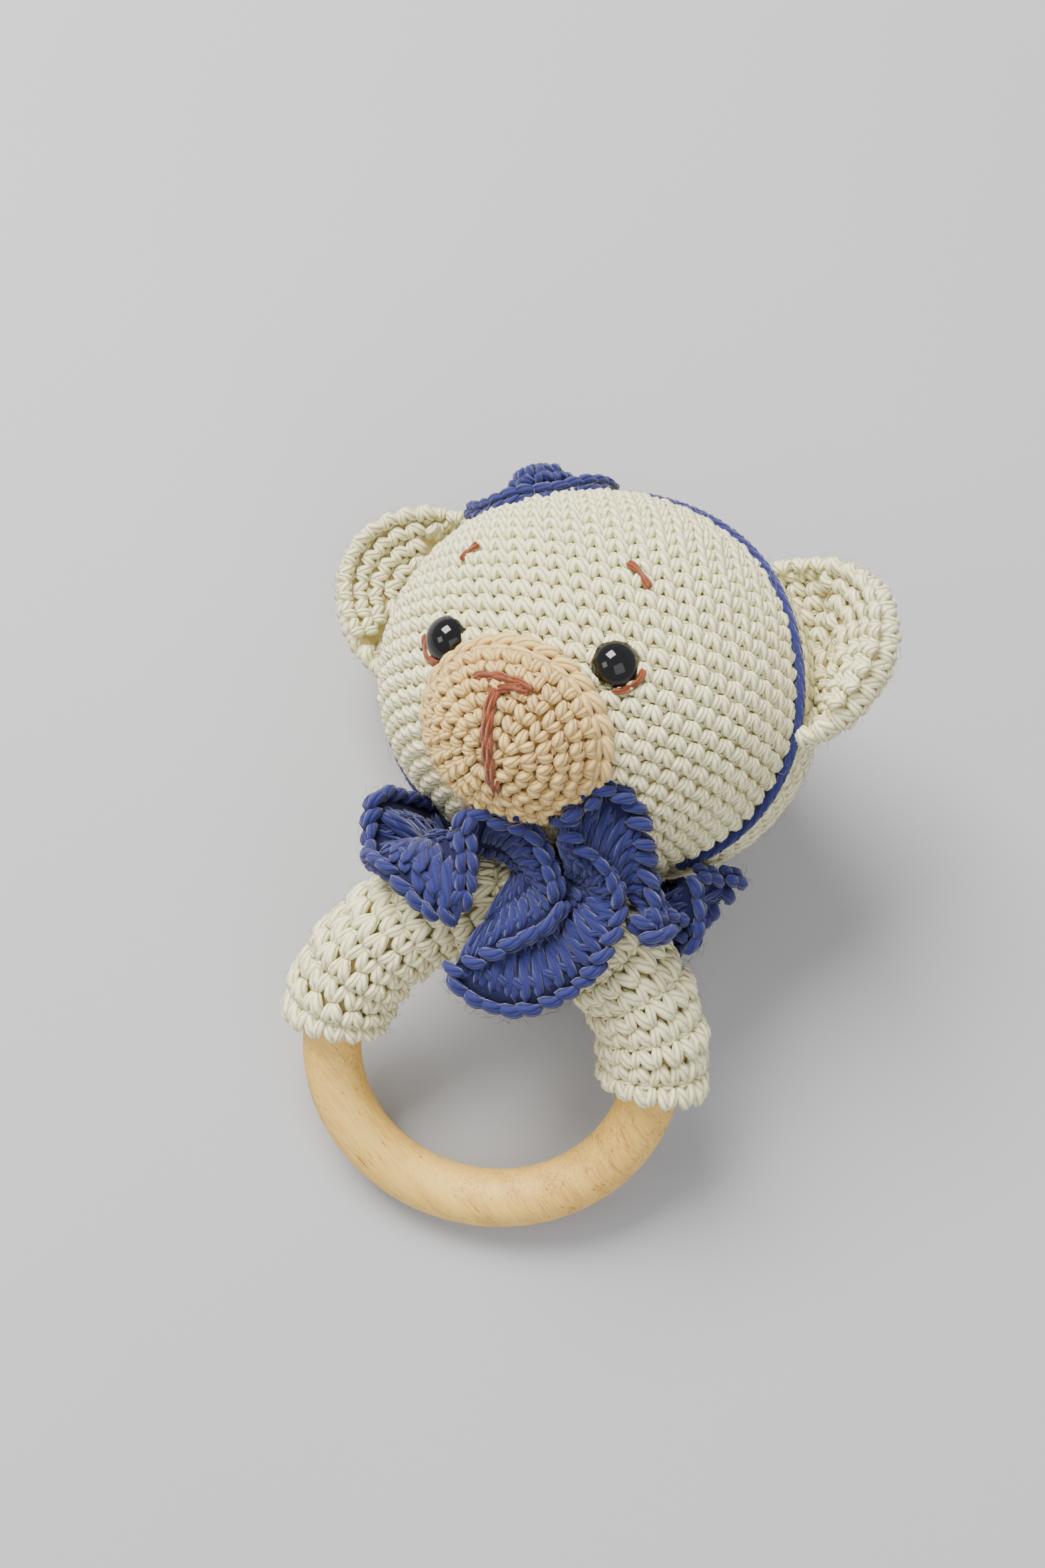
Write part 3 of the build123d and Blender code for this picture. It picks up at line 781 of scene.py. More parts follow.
def skin_of_revolution(outline, inset, columns=96, steps=64):
    """A grid of points a little inside a solid of revolution about Y."""
    run = np.concatenate([[0], np.cumsum(np.hypot(np.diff(outline[:, 0]), np.diff(outline[:, 1])))])
    s = np.linspace(run[-1] * 0.01, run[-1] * 0.99, steps)
    radius, height, out, up = (np.interp(s, run, outline[:, k]) for k in range(4))
    a = np.arange(columns) / columns * 2 * np.pi
    flat = (radius - out * inset)[:, None]
    level = np.repeat((height - up * inset)[:, None], columns, 1)
    return np.stack([np.sin(a) * flat, level, np.cos(a) * flat], -1)


def finish_piece(obj, body, nodes=()):
    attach(obj, body)
    if nodes:
        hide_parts(*nodes)
    return obj


def cover(obj, key):
    obj.data.materials.clear()
    obj.data.materials.append(MATERIALS[key])
    return obj


# ---------------------------------------------------------------- the pieces

class RATTLE_OT_stage(bpy.types.Operator):
    """Set up the camera, the pale floor and the soft lights"""

    bl_idname = "rattle.stage"
    bl_label = "Camera, floor and lights"

    def execute(self, context):
        scene = context.scene
        camera = bpy.data.objects.new("camera", bpy.data.cameras.new("camera"))
        camera.data.lens = 50
        camera.data.sensor_fit = "VERTICAL"
        camera.data.sensor_height = 36
        camera.data.clip_start = 0.01
        right = Vector((0.95929, 0.27188, 0.07641))
        up = Vector((-0.2824, 0.9254, 0.25273))
        back = Vector((-0.002, -0.26403, 0.96451))
        camera.matrix_world = Matrix.Translation((-0.00605, -0.09504, 0.41994)) @ Matrix(
            (right, up, back)).transposed().to_4x4()
        scene.collection.objects.link(camera)
        scene.camera = camera

        size = 3.0
        floor = bpy.data.meshes.new("floor")
        corners = [(-size, -size, 0), (size, -size, 0), (size, size, 0), (-size, size, 0)]
        floor.from_pydata(corners, [], [(0, 1, 2, 3)])
        floor = bpy.data.objects.new("floor", floor)
        scene.collection.objects.link(floor)
        material, tree, shader = principled("pale_surface", 0.6)
        place = tree.nodes.new("ShaderNodeTexCoord").outputs["Object"]
        grain = noise(tree, place, 9, 2.0)
        pale = tuple(colours().floor)
        stops = [(0.3, shade(pale, (0.97,) * 3)), (0.7, pale)]
        tree.links.new(ramp(tree, grain, stops), shader.inputs["Base Color"])
        floor.data.materials.append(material)

        world = bpy.data.worlds.new("studio")
        world.use_nodes = True
        world.node_tree.nodes["Background"].inputs[0].default_value = (0.96, 0.97, 1.0, 1)
        world.node_tree.nodes["Background"].inputs[1].default_value = 0.66
        scene.world = world
        for name, place, aim, side, power, tint in (
            ("key", (-0.70, 0.6, 1.18), (0, 0.02, 0.02), 0.8, 50.0, (1.0, 0.985, 0.94)),
            ("fill", (0.6, -0.7, 1.2), (0, 0, 0.02), 1.2, 7.0, (0.97, 0.98, 1.0)),
            ("window", (-0.9, -0.5, 0.8), (0, 0, 0.03), 0.5, 3.0, (1.0, 1.0, 1.0)),
        ):
            light = bpy.data.lights.new(name, "AREA")
            light.shape = "SQUARE"
            light.size = side
            light.energy = power
            light.color = tint
            lamp = bpy.data.objects.new(name, light)
            lamp.location = place
            lamp.rotation_euler = (Vector(aim) - Vector(place)).to_track_quat("-Z", "Y").to_euler()
            scene.collection.objects.link(lamp)
        return {"FINISHED"}


class RATTLE_OT_ring(bpy.types.Operator):
    """Give the wooden ring its grain"""

    bl_idname = "rattle.ring"
    bl_label = "Wooden ring"

    def execute(self, context):
        paint("wooden_ring", "wood")
        return {"FINISHED"}


class RATTLE_OT_inside(bpy.types.Operator):
    """Finish the capsule, beads, stuffing and washers that are inside the head"""

    bl_idname = "rattle.inside"
    bl_label = "Capsule, beads and stuffing"

    def execute(self, context):
        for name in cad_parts:
            if name.startswith("bead_"):
                paint(name, "bead")
            elif name.startswith("capsule_"):
                paint(name, "capsule")
            elif name.endswith("_stuffing"):
                paint(name, "stuffing")
            elif name.endswith("_washer"):
                paint(name, "washer")
        return {"FINISHED"}


def ring_axes():
    a = math.radians(RING_TILT)
    return np.array([[1, 0, 0], [0, math.cos(a), math.sin(a)], [0, -math.sin(a), math.cos(a)]])


def ring_centre():
    low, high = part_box("wooden_ring")
    return np.array((low + high) / 2) / MM


def sleeve_place(angle, around, radius):
    """Points, ways round the tube and outward ways on the sleeve. Angles are in radians."""
    axes = ring_axes()
    out = np.stack([np.cos(angle), np.sin(angle), np.zeros_like(angle)], -1)
    lift = np.array([0, 0, 1.0])
    normal = np.cos(around)[..., None] * out + np.sin(around)[..., None] * lift
    way = -np.sin(around)[..., None] * out + np.cos(around)[..., None] * lift
    points = RING_RADIUS * out + radius * normal
    return points @ axes + ring_centre(), way @ axes, normal @ axes


class RATTLE_OT_sleeve(bpy.types.Operator):
    """Crochet the sleeve that holds the ring"""

    bl_idname = "rattle.sleeve"
    bl_label = "Ring sleeve"

    def execute(self, context):
        first, last = math.radians(SLEEVE_FIRST_ANGLE), math.radians(SLEEVE_LAST_ANGLE)
        rows = max(2, round((last - first) * RING_RADIUS / SLEEVE_ROW))
        step = (last - first) / rows
        number = SLEEVE_STITCHES
        field = []
        for i in range(rows):
            angle = first + (i + 0.5) * step
            around = (np.arange(number) + 0.35 * i) / number * 2 * math.pi
            ridge = i % 2 == 0
            radius = SLEEVE_RADIUS - (SLEEVE_RIDGE_INSET if ridge else SLEEVE_GROOVE_INSET)
            points, way, normal = sleeve_place(np.full(number, angle), around, radius)
            reach = 1 + SLEEVE_RADIUS / RING_RADIUS * np.cos(around)
            tall = step * RING_RADIUS * reach / SLEEVE_STITCH_HEIGHT
            size = np.stack([np.full(number, 0.98), tall, np.full(number, 1.12)], -1)
            field.append((points, way if ridge else -way, normal, size))
        skin_angle = np.linspace(first, last, 60)
        skin_around = np.arange(40) / 40 * 2 * math.pi
        turns = np.broadcast_arrays(skin_angle[:, None], skin_around[None, :])
        grid, _, _ = sleeve_place(*turns, SLEEVE_RADIUS - 1.5)
        lip, _, _ = sleeve_place(*turns, SLEEVE_BORE_RADIUS)
        whole = np.concatenate([grid, lip[::-1], grid[:1]])
        base = cover(surface_mesh("sleeve_ground", whole[:, ::-1], closed=False), "cream_shaded_ground")
        field = field_arrays(field)
        pieces = [
            base,
            stitched("sleeve_stitches", STITCHES["single"], *field, "cream", unevenness=0.12, seed=11),
            fuzz("sleeve_fuzz", field, 1000, "cream", seed=14),
        ]
        inset = SLEEVE_END_INSET / RING_RADIUS
        count = SLEEVE_END_STITCHES
        for end, lean in ((first + inset, -1), (last - inset, 1)):
            around = np.arange(count) / count * 2 * math.pi
            points, way, normal = sleeve_place(np.full(count, end), around, SLEEVE_END_RADIUS)
            out = sleeve_place(np.full(count, end + math.pi / 2 * lean), np.zeros(count), 1.0)[2]
            size = np.tile([0.95, 1.0, 1.0], (count, 1))
            pieces.append(stitched("sleeve_end", STITCHES["chain"], points, way, unit(out * 0.6 + normal),
                                   size, "cream", seed=13))
        sleeve = merge("sleeve_knit", pieces)
        keep_above_floor(sleeve)
        finish_piece(sleeve, "sleeve", ["ring_sleeve"])
        return {"FINISHED"}


class RATTLE_OT_neck(bpy.types.Operator):
    """Crochet the stub of the neck and the round of yarn on it"""

    bl_idname = "rattle.neck"
    bl_label = "Neck"

    def execute(self, context):
        low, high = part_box("neck_stem")
        middle = np.array([(low.x + high.x) / 2, 0, (low.z + high.z) / 2]) / MM
        top = high.y / MM
        bottom = low.y / MM
        outline = np.array([(0.01, top, 0, 1), (3.2, top - 0.9, 0.5, 0.86), (5.6, top - 3.2, 0.87, 0.5),
                            (NECK_RADIUS, top - NECK_RADIUS, 1, 0), (NECK_RADIUS, bottom, 1, 0)])
        grid = skin_of_revolution(outline, 0.9, 32, 16) + middle
        base = cover(surface_mesh("neck_ground", grid), "cream_shaded_ground")
        field = rounds_of_revolution(outline, first=5.0)
        field[0] = field[0] + middle - field[2] * 0.7
        stitches = stitched("neck_stitches", STITCHES["single"], *field, "cream", seed=21)
        finish_piece(merge("neck_knit", [base, stitches]), "sleeve", ["neck_stem"])

        low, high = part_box("neck_band")
        centre = np.array((low + high) / 2) / MM
        reach = (high.x - low.x) / 2 / MM - 0.6
        turns = np.linspace(0, 2 * math.pi, 73)
        path = centre + np.stack([np.sin(turns) * reach, np.zeros_like(turns), np.cos(turns) * reach], -1)
        band = cover(new_object("neck_band_yarn", *tube(path, 0.6, 8, 2, 0.12, 1.3)), "cream")
        finish_piece(band, "neck", ["neck_band"])
        return {"FINISHED"}


class RATTLE_OT_head(bpy.types.Operator):
    """Crochet the stuffed head in rounds from the crown to the neck"""

    bl_idname = "rattle.head"
    bl_label = "Head"

    def execute(self, context):
        outline = oval_outline(HEAD_RADIUS, HEAD_RISE, HEAD_DROP)
        base = surface_mesh("head_ground", to_row(skin_of_revolution(outline, 0.75, 128, 90)))
        cover(base, "cream_shaded_ground")
        field = rounds_of_revolution(outline)
        local = field[0]
        seen = (local - MUZZLE_ORIGIN) @ MUZZLE_AXES.T
        under_muzzle = (np.hypot(seen[:, 0], seen[:, 1]) < MUZZLE_RADIUS - 2.2) & (seen[:, 2] > 0)
        seen = (local - HAT_ORIGIN) @ HAT_AXES.T
        under_hat = (np.hypot(seen[:, 0], seen[:, 1]) < HAT_CROWN_RADIUS) & (seen[:, 2] > -5)
        neck = (local[:, 1] < 0) & (np.hypot(local[:, 0], local[:, 2]) < 10.5)
        field = chosen(field, ~(under_muzzle | under_hat | neck))
        field = row_field([field[0] - field[2] * 0.3, *field[1:]])
        stitches = stitched("head_stitches", STITCHES["single"], *field, "cream", unevenness=0.09, seed=31)
        head = merge("head_knit", [base, stitches, fuzz("head_fuzz", field, 2600, "cream", seed=32)])
        keep_above_floor(head)
        finish_piece(head, "head", ["head_shell"])
        return {"FINISHED"}


def muzzle_outline():
    outline = oval_outline(MUZZLE_RADIUS, MUZZLE_RIM_DROP + MUZZLE_RISE, MUZZLE_RIM_DROP + MUZZLE_RISE)
    return outline[outline[:, 1] >= -0.01]


def from_patch(points, origin, axes):
    """From a solid of revolution about its own Y to the head's frame, with Y along the patch's normal."""
    return points @ np.array([axes[0], axes[2], -axes[1]]) + origin


def patch_field(field, sink, origin, axes, scale):
    """A patch's field of stitches in the row frame, sunk a little and with its sizes scaled."""
    way, out = (from_patch(part, np.zeros(3), axes) for part in field[1:3])
    return row_field([from_patch(field[0] - field[2] * sink, origin, axes), way, out, field[3] * scale])


class RATTLE_OT_muzzle(bpy.types.Operator):
    """Crochet the muzzle in rounds, with a chain along its rim"""

    bl_idname = "rattle.muzzle"
    bl_label = "Muzzle"

    def execute(self, context):
        outline = muzzle_outline()
        grid = to_row(from_patch(skin_of_revolution(outline, 0.8, 64, 32), MUZZLE_ORIGIN, MUZZLE_AXES))
        base = cover(surface_mesh("muzzle_ground", grid), "beige_shaded_ground")
        field = rounds_of_revolution(outline, first=0.0, last=19.0, shift=0.45, row=2.9, width=3.6)
        field = patch_field(field, 0.35, MUZZLE_ORIGIN, MUZZLE_AXES, [0.97, 0.97, 1.15])
        stitches = stitched("muzzle_stitches", STITCHES["single"], *field, "beige", unevenness=0.13, seed=41)
        rim_points, rim_ways, rim_out = [], [], []
        number = MUZZLE_RIM_STITCHES
        for a in 2 * math.pi * np.arange(number) / number:
            flat = np.array([math.cos(a), math.sin(a)]) * (MUZZLE_RADIUS - 0.55)
            d = unit(MUZZLE_ORIGIN + flat @ MUZZLE_AXES[:2] + MUZZLE_AXES[2] * 2.0)
            hit, normal = head_hit_one(d)
            side = flat @ MUZZLE_AXES[:2] / MUZZLE_RADIUS
            rim_points.append(hit + normal * 1.75)
            rim_ways.append(np.cross(MUZZLE_AXES[2], unit(side)))
            rim_out.append(unit(normal + side * 0.45))
        rim_points = np.array(rim_points)
        size = np.tile([1.1, 1.2, 1.2], (number, 1))
        rim = stitched("muzzle_rim", STITCHES["chain"], to_row(rim_points), turned(np.array(rim_ways)),
                       turned(np.array(rim_out)), size, "beige", unevenness=0.06, seed=42)
        hairs = fuzz("muzzle_fuzz", field, 500, "beige", seed=43)
        muzzle = merge("muzzle_knit", [base, stitches, rim, hairs])
        finish_piece(muzzle, "head", ["muzzle_cover"])
        return {"FINISHED"}


class RATTLE_OT_eyes(bpy.types.Operator):
    """Finish the safety eyes"""

    bl_idname = "rattle.eyes"
    bl_label = "Eyes"

    def execute(self, context):
        paint("left_eye", "eye")
        paint("right_eye", "eye")
        return {"FINISHED"}


def arc_through(a, b, c, count=14):
    """A smooth curve through three points."""
    a, b, c = (np.asarray(p, float) for p in (a, b, c))
    t = np.linspace(0, 1, count)[:, None]
    control = 2 * b - (a + c) / 2
    return (1 - t) ** 2 * a + 2 * t * (1 - t) * control + t**2 * c


def thread_piece(name, paths, radius, nodes):
    """Embroidery thread: each path is two plies that wind round each other."""
    parts = []
    for path in paths:
        _, side, other = frames_along(path)
        run = np.concatenate([[0], np.cumsum(np.linalg.norm(np.diff(path, axis=0), axis=1))])
        for ply in (0, math.pi):
            a = (run * 0.75 + ply)[:, None]
            centre = path + (np.cos(a) * side + np.sin(a) * other) * radius * 0.42
            parts.append(tube(centre, radius * 0.66, 8))
    obj = cover(new_object(name, *joined(parts)), "rust")
    finish_piece(obj, "head", nodes)


class RATTLE_OT_face_threads(bpy.types.Operator):
    """Embroider the nose, mouth, brows and eye liners"""

    bl_idname = "rattle.face_threads"
    bl_label = "Face embroidery"

    def execute(self, context):
        def on_muzzle(ends, lift):
            return to_row(arc_through(*[muzzle_point(x, y, lift) for x, y in ends]))

        nose = [
            on_muzzle(((-4.5, 12.1), (-0.3, 13.0), (2.4, 12.4)), 1.2),
            on_muzzle(((-1.6, 12.5), (3.0, 12.6), (6.7, 11.3)), 1.3),
            on_muzzle(((0.4, 11.2), (3.6, 11.5), (6.4, 10.9)), 1.1),
        ]
        mouth = [
            on_muzzle(((0.2, 12.2), (-0.4, 3.5), (0.7, -7.4)), 1.2),
            on_muzzle(((0.9, 11.8), (0.4, 3.5), (1.3, -7.2)), 1.15),
        ]
        thread_piece("nose_thread", nose, 0.8, ["nose_stitch"])
        thread_piece("mouth_thread", mouth, 0.78, ["mouth_stitch"])
        for side, word in ((-1, "left"), (1, "right")):
            if side < 0:
                ends = ((-23.6, 17.2), (-25.0, 14.4), (-25.8, 11.4))
            else:
                ends = ((19.3, 16.9), (23.4, 14.4), (26.6, 10.8))
            points = [head_place(lon, lat, 0.85)[0] for lon, lat in ends]
            path = to_row(arc_through(*points))
            thread_piece(word + "_brow_thread", [path], 0.72, [word + "_brow"])
            origin, axes = head_place(side * 23.5, -9.6)
            points = []
            for turn in (12, -32, -84):
                a = math.radians(turn)
                points.append(origin + np.array([side * 4.7 * math.cos(a), 4.7 * math.sin(a), 0.55]) @ axes)
            path = to_row(arc_through(*points))
            thread_piece(word + "_liner_thread", [path], 0.72, [word + "_eye_liner"])
        return {"FINISHED"}


def ear_frame():
    """The left ear's plane in the head's frame: origin and rows outward, up and facing."""
    root, normal = head_hit_one(direction(-EAR_LONGITUDE, EAR_LATITUDE))
    outward = unit(normal + np.array([0, 0, math.tan(math.radians(10))]))
    up = np.array([0.0, 1.0, 0.0])
    up = unit(up - outward * up.dot(outward))
    facing = np.cross(up, outward)
    middle = root - outward * (EAR_REACH * 0.15) - facing * (EAR_THICKNESS / 2)
    return middle, np.array([outward, np.cross(facing, outward), facing])


def ear_surface(radius, turn, depth):
    """A point of the cupped ear: run along its bowl, turn from its middle, depth from its back."""
    stretch = 1.15 * EAR_REACH / EAR_HALF_HEIGHT
    radius = EAR_BOWL_MIDDLE * np.sin(radius / EAR_BOWL_MIDDLE)
    x = radius * np.cos(turn) * stretch
    y = radius * np.sin(turn)
    flat = x**2 + y**2
    bowl = EAR_BOWL_RADIUS - depth
    z = EAR_BOWL_RADIUS - np.sqrt(np.maximum(bowl**2 - flat, 1.0))
    return np.stack([x, y, z], -1)


def ear_front(radius, turn, inset):
    """A point of the ear's front: a deep strip beside the head, then a raised lip and a full outer part."""
    flat = ear_surface(radius, turn, 0.0)
    rise = np.clip((flat[..., 0] - (EAR_LIP_AT - 0.12 * flat[..., 1])) / EAR_LIP_RUN, 0, 1)
    depth = EAR_STRIP_DEPTH + (EAR_THICKNESS + EAR_LIP_LIFT - EAR_STRIP_DEPTH) * rise**2 * (3 - 2 * rise)
    return ear_surface(radius, turn, depth - inset)


class RATTLE_OT_ears(bpy.types.Operator):
    """Crochet the two cupped ears in half rounds about their roots"""

    bl_idname = "rattle.ears"
    bl_label = "Ears"

    def execute(self, context):
        origin, axes = ear_frame()
        half = math.pi / 2
        for side, word in ((-1, "left"), (1, "right")):
            rows = []
            for face in (1, -1):
                for i in range(EAR_ROWS):
                    radius = EAR_RUN * (i + 0.55) / (EAR_ROWS + 0.1)
                    number = max(2, round(math.pi * radius / EAR_STITCH_WIDTH))
                    turn = (np.arange(number) + 0.5 + 0.3 * (i % 2)) / number * 2 * half - half
                    rows.append(self.row(turn, radius, 0.5, face))
            number = EAR_RIM_STITCHES
            turn = (np.arange(number) + 0.5) / number * 2 * half - half
            rows.append(self.rim(turn))
            points, ways, outs, size = field_arrays(rows)
            flip = np.array([-side, 1, 1]) * 1.0
            points = (points @ axes + origin) * flip
            ways, outs = (ways @ axes) * flip * -side, (outs @ axes) * flip
            keep = np.linalg.norm(points, axis=1) > EAR_ROOT_REACH
            field = row_field(chosen([points, ways, outs, size], keep))
            stitches = stitched(word + "_ear_stitches", STITCHES["single"], *field, "cream",
                                unevenness=0.12, seed=51)
            radii = np.linspace(0.5, EAR_RUN - 0.9, 24)
            turns = np.linspace(-half, half, 24)
            front = ear_front(radii[:, None], turns[None, :], 1.2)
            back = ear_surface(radii[:, None], turns[None, :], 1.2)
            whole = np.concatenate([front, back[::-1]], 0)
            base = self.closed_shell(word + "_ear_ground", to_row((whole @ axes + origin) * flip), side)
            cover(base, "cream_shaded_ground")
            hairs = fuzz(word + "_ear_fuzz", field, 650, "cream", seed=52)
            ear = merge(word + "_ear_knit", [base, stitches, hairs])
            keep_above_floor(ear)
            finish_piece(ear, "head", [word + "_ear"])
        return {"FINISHED"}

    def row(self, turn, radius, inset, face):
        """One half round on the front, face 1, or on the back, face -1."""
        step = 0.01
        shape = ear_front if face > 0 else ear_surface
        points = shape(radius, turn, inset)
        along = unit(shape(radius, turn + step, inset) - points)
        out = unit(shape(radius + step, turn, inset) - points)
        normal = unit(np.cross(out, along)) * face
        return points, along * -face, normal, np.tile([0.93, 1.0, 1.0], (len(turn), 1))

    def rim(self, turn):
        """The round of stitches over the ear's edge."""
        step = 0.01
        middle = EAR_THICKNESS / 2
        points = ear_surface(EAR_RUN - 0.3, turn, middle)
        along = unit(ear_surface(EAR_RUN - 0.3, turn + step, middle) - points)
        out = unit(points - ear_surface(EAR_RUN - 1.3, turn, middle))
        return points, along, out, np.tile([0.95, 1.35, 1.1], (len(turn), 1))

    def closed_shell(self, name, grid, side):
        """A skin whose rows join up, with its two straight ends closed. side turns it the right way out."""
        rows, columns = grid.shape[:2]
        faces = []
        for i in range(rows):
            for j in range(columns - 1):
                k = (i + 1) % rows
                face = (i * columns + j, k * columns + j, k * columns + j + 1, i * columns + j + 1)
                faces.append(face[::side])
        for j in (0, columns - 1):
            loop = [i * columns + j for i in range(rows)]
            faces.append(loop[::side if j == 0 else -side])
        return new_object(name, grid.reshape(-1, 3), faces)


class RATTLE_OT_hat(bpy.types.Operator):
    """Crochet the small hat, its crown and its curled brim"""

    bl_idname = "rattle.hat"
    bl_label = "Hat"

    def execute(self, context):
        low = -HAT_CROWN_RADIUS**2 / HEAD_RADIUS + 0.6
        shoulder = HAT_CROWN_HEIGHT - HAT_CROWN_RADIUS
        a = np.linspace(0, math.pi / 2, 20)
        dome = np.stack([np.sin(a), np.cos(a)], -1)
        dome = np.concatenate([dome * HAT_CROWN_RADIUS + [0, shoulder], dome], 1)
        outline = np.concatenate([dome, [(HAT_CROWN_RADIUS, low, 1, 0)]])
        grid = to_row(from_patch(skin_of_revolution(outline, 0.9, 32, 16), HAT_ORIGIN, HAT_AXES))
        base = cover(surface_mesh("hat_ground", grid), "blue_shaded_ground")
        field = rounds_of_revolution(outline, row=2.6, width=3.4)
        field = patch_field(field, 0.5, HAT_ORIGIN, HAT_AXES, [0.95, 1.0, 1.05])
        crown = stitched("hat_crown_stitches", STITCHES["single"], *field, "blue", unevenness=0.14, seed=61)
        finish_piece(merge("hat_crown_knit", [base, crown]), "head", ["hat_crown"])

        rows = []
        rounds = ((7.2, 2.5), (9.6, 2.6), (12.0, 2.6))
        for i, (radius, tall) in enumerate(rounds):
            number = round(2 * math.pi * radius / 3.3)
            turn = (np.arange(number) + 0.5 * i) / number * 2 * math.pi
            points, way, out, _ = self.brim(turn, radius)
            rows.append((points, way, out, np.tile([0.92, tall / STITCH_HEIGHT, 0.9], (number, 1))))
        field = row_field(field_arrays(rows))
        top = stitched("hat_brim_top", STITCHES["single"], *field, "blue", unevenness=0.12, seed=62)
        number = HAT_EDGE_STITCHES
        turn = np.arange(number) / number * 2 * math.pi
        points, way, out, away = self.brim(turn, HAT_BRIM_RADIUS - 0.7)
        edge = stitched("hat_brim_edge", STITCHES["chain"], to_row(points), turned(way),
                        turned(unit(away + out * 0.4)), np.tile([1.0, 0.95, 1.05], (number, 1)),
                        "blue", unevenness=0.08, seed=63)
        turn = np.arange(72) / 72 * 2 * math.pi
        layers = []
        for radius in (HAT_CROWN_RADIUS - 0.8, 8.6, 11.2, HAT_BRIM_RADIUS - 0.9):
            points, _, out, _ = self.brim(turn, radius)
            layers.append((points - out * 0.1, points - out * 0.9))
        whole = np.array([p[0] for p in layers] + [p[1] for p in layers[::-1]])
        ground = cover(ring_mesh("hat_brim_ground", to_row(whole)), "blue_shaded_ground")
        finish_piece(merge("hat_brim_knit", [ground, top, edge]), "head", ["hat_brim"])
        return {"FINISHED"}

    def brim(self, turn, radius):
        """Points, ways along the round, upward and outward ways of the brim, which curls up at one side."""
        def place(turn, radius):
            flat = np.stack([np.cos(turn), np.sin(turn)], -1) * np.asarray(radius)[..., None]
            curl = np.maximum(0, np.cos(turn - math.radians(215))) ** 2
            scallop = 0.35 * np.sin(5 * turn)
            share = (np.asarray(radius) - HAT_CROWN_RADIUS) / (HAT_BRIM_RADIUS - HAT_CROWN_RADIUS)
            lift = share**2 * (2.2 * curl + scallop)
            rough = HAT_ORIGIN + flat @ HAT_AXES[:2]
            hits, normals = head_hit(unit(rough))
            return hits + normals * (1.25 + lift)[..., None]
        radius = np.full(len(turn), float(radius))
        points = place(turn, radius)
        way = unit(place(turn + 0.01, radius) - points)
        away = unit(place(turn, radius + 0.1) - points)
        return points, way, unit(np.cross(away, way)), away


def cord_route(turns):
    """Points of the chin cord in the head's frame, for turns in degrees."""
    points = []
    for turn in turns:
        y, side = math.sin(math.radians(turn)), math.cos(math.radians(turn))
        scale, z = 1.0, 0.0
        for _ in range(60):
            high = y * scale
            z = CORD_PLANE_HEIGHT + CORD_PLANE_SLOPE * high - CORD_CROWN_DROP * max(0.0, high) ** 2
            scale /= math.sqrt((side * scale) ** 2 + high**2 + z**2)
        hit, normal = head_hit_one((side * scale, y * scale, z))
        points.append(hit + normal * (sizes().cord_radius / MM + 0.15))
    return np.array(points)


class RATTLE_OT_chin_cord(bpy.types.Operator):
    """Lay the twisted cord that holds the hat"""

    bl_idname = "rattle.chin_cord"
    bl_label = "Chin cord"

    def execute(self, context):
        turns = np.linspace(CORD_END_LATITUDE, 180 - CORD_END_LATITUDE, 260)
        path = to_row(cord_route(turns))
        radius = sizes().cord_radius / MM
        cord = cover(new_object("chin_cord_yarn", *tube(path, radius, 10, 3, 0.16, 1.1)), "blue")
        finish_piece(cord, "head", ["chin_cord"])
        return {"FINISHED"}


# The frill's outer edge round the front, fold by fold, from the middle of the head's lower pole (mm).
FRILL_FRONT_EDGE = (
    (-32, 1, 5), (-32, -5, 5), (-29, -12, 8), (-22, -16, 11), (-15, -17, 13), (-13, -14, 16),
    (-14, -9, 19), (-16, -3, 21), (-13, 0, 22), (-8, 0, 22), (-3, -3, 20), (1, -8, 17),
    (3, -13, 15), (-3, -19, 13), (-8, -23.5, 11.5), (-11, -26, 11), (-7.5, -29, 10), (1, -29, 9),
    (8, -24.5, 10),
    (13, -17, 12), (13, -8, 16), (8, -3, 19), (2, -1, 22), (-1, 3, 26), (3, 8, 27),
    (9, 8, 26), (13, 4, 23), (16, -1, 18), (20, -8, 14), (21, -13, 11), (17, -12, 8),
    (24, -10, 5), (28, -8, 5), (27, -3, 8), (25, 2, 9), (30, 4, 5), (33, 5, 2),
)
FRILL_FRONT_START = -100.0
FRILL_FRONT_END = 96.0
FRILL_BACK_FOLDS = 5
FRILL_NECK_RADIUS = 10.0
FRILL_FULLNESS = 12.5
FRILL_SAG = 0.75
FRILL_GAP = 1.3
FRILL_POSED_GAP = 0.5
FRILL_CHAIN_STEP = 3.4
FRILL_FREE_RADIUS = 14.0
NECK_PIVOT_DROP = 30.858
HEAD_TURNS = (-20, 20, -10, 10, 0)
HEAD_NODS = (-10, 10, 0)


def frill_edge():
    """Control points of the whole outer edge, and the angle at which each leaves the neck, in degrees."""
    points = [np.array(p, float) for p in FRILL_FRONT_EDGE]
    angles = list(np.linspace(FRILL_FRONT_START, FRILL_FRONT_END, len(points)))
    count = 6 * FRILL_BACK_FOLDS
    for i in range(1, count):
        share = i / count
        angle = FRILL_FRONT_END + share * (360 + FRILL_FRONT_START - FRILL_FRONT_END)
        swing = math.sin(2 * math.pi * FRILL_BACK_FOLDS * share)
        lean = angle + 7 * math.sin(4 * math.pi * FRILL_BACK_FOLDS * share)
        radius = 26 + 2.0 * math.sin(5 * share)
        a = math.radians(lean)
        points.append(np.array([radius * math.sin(a), -2 - 8 * swing, radius * math.cos(a)]))
        angles.append(angle)
    return np.array(points), np.array(angles)


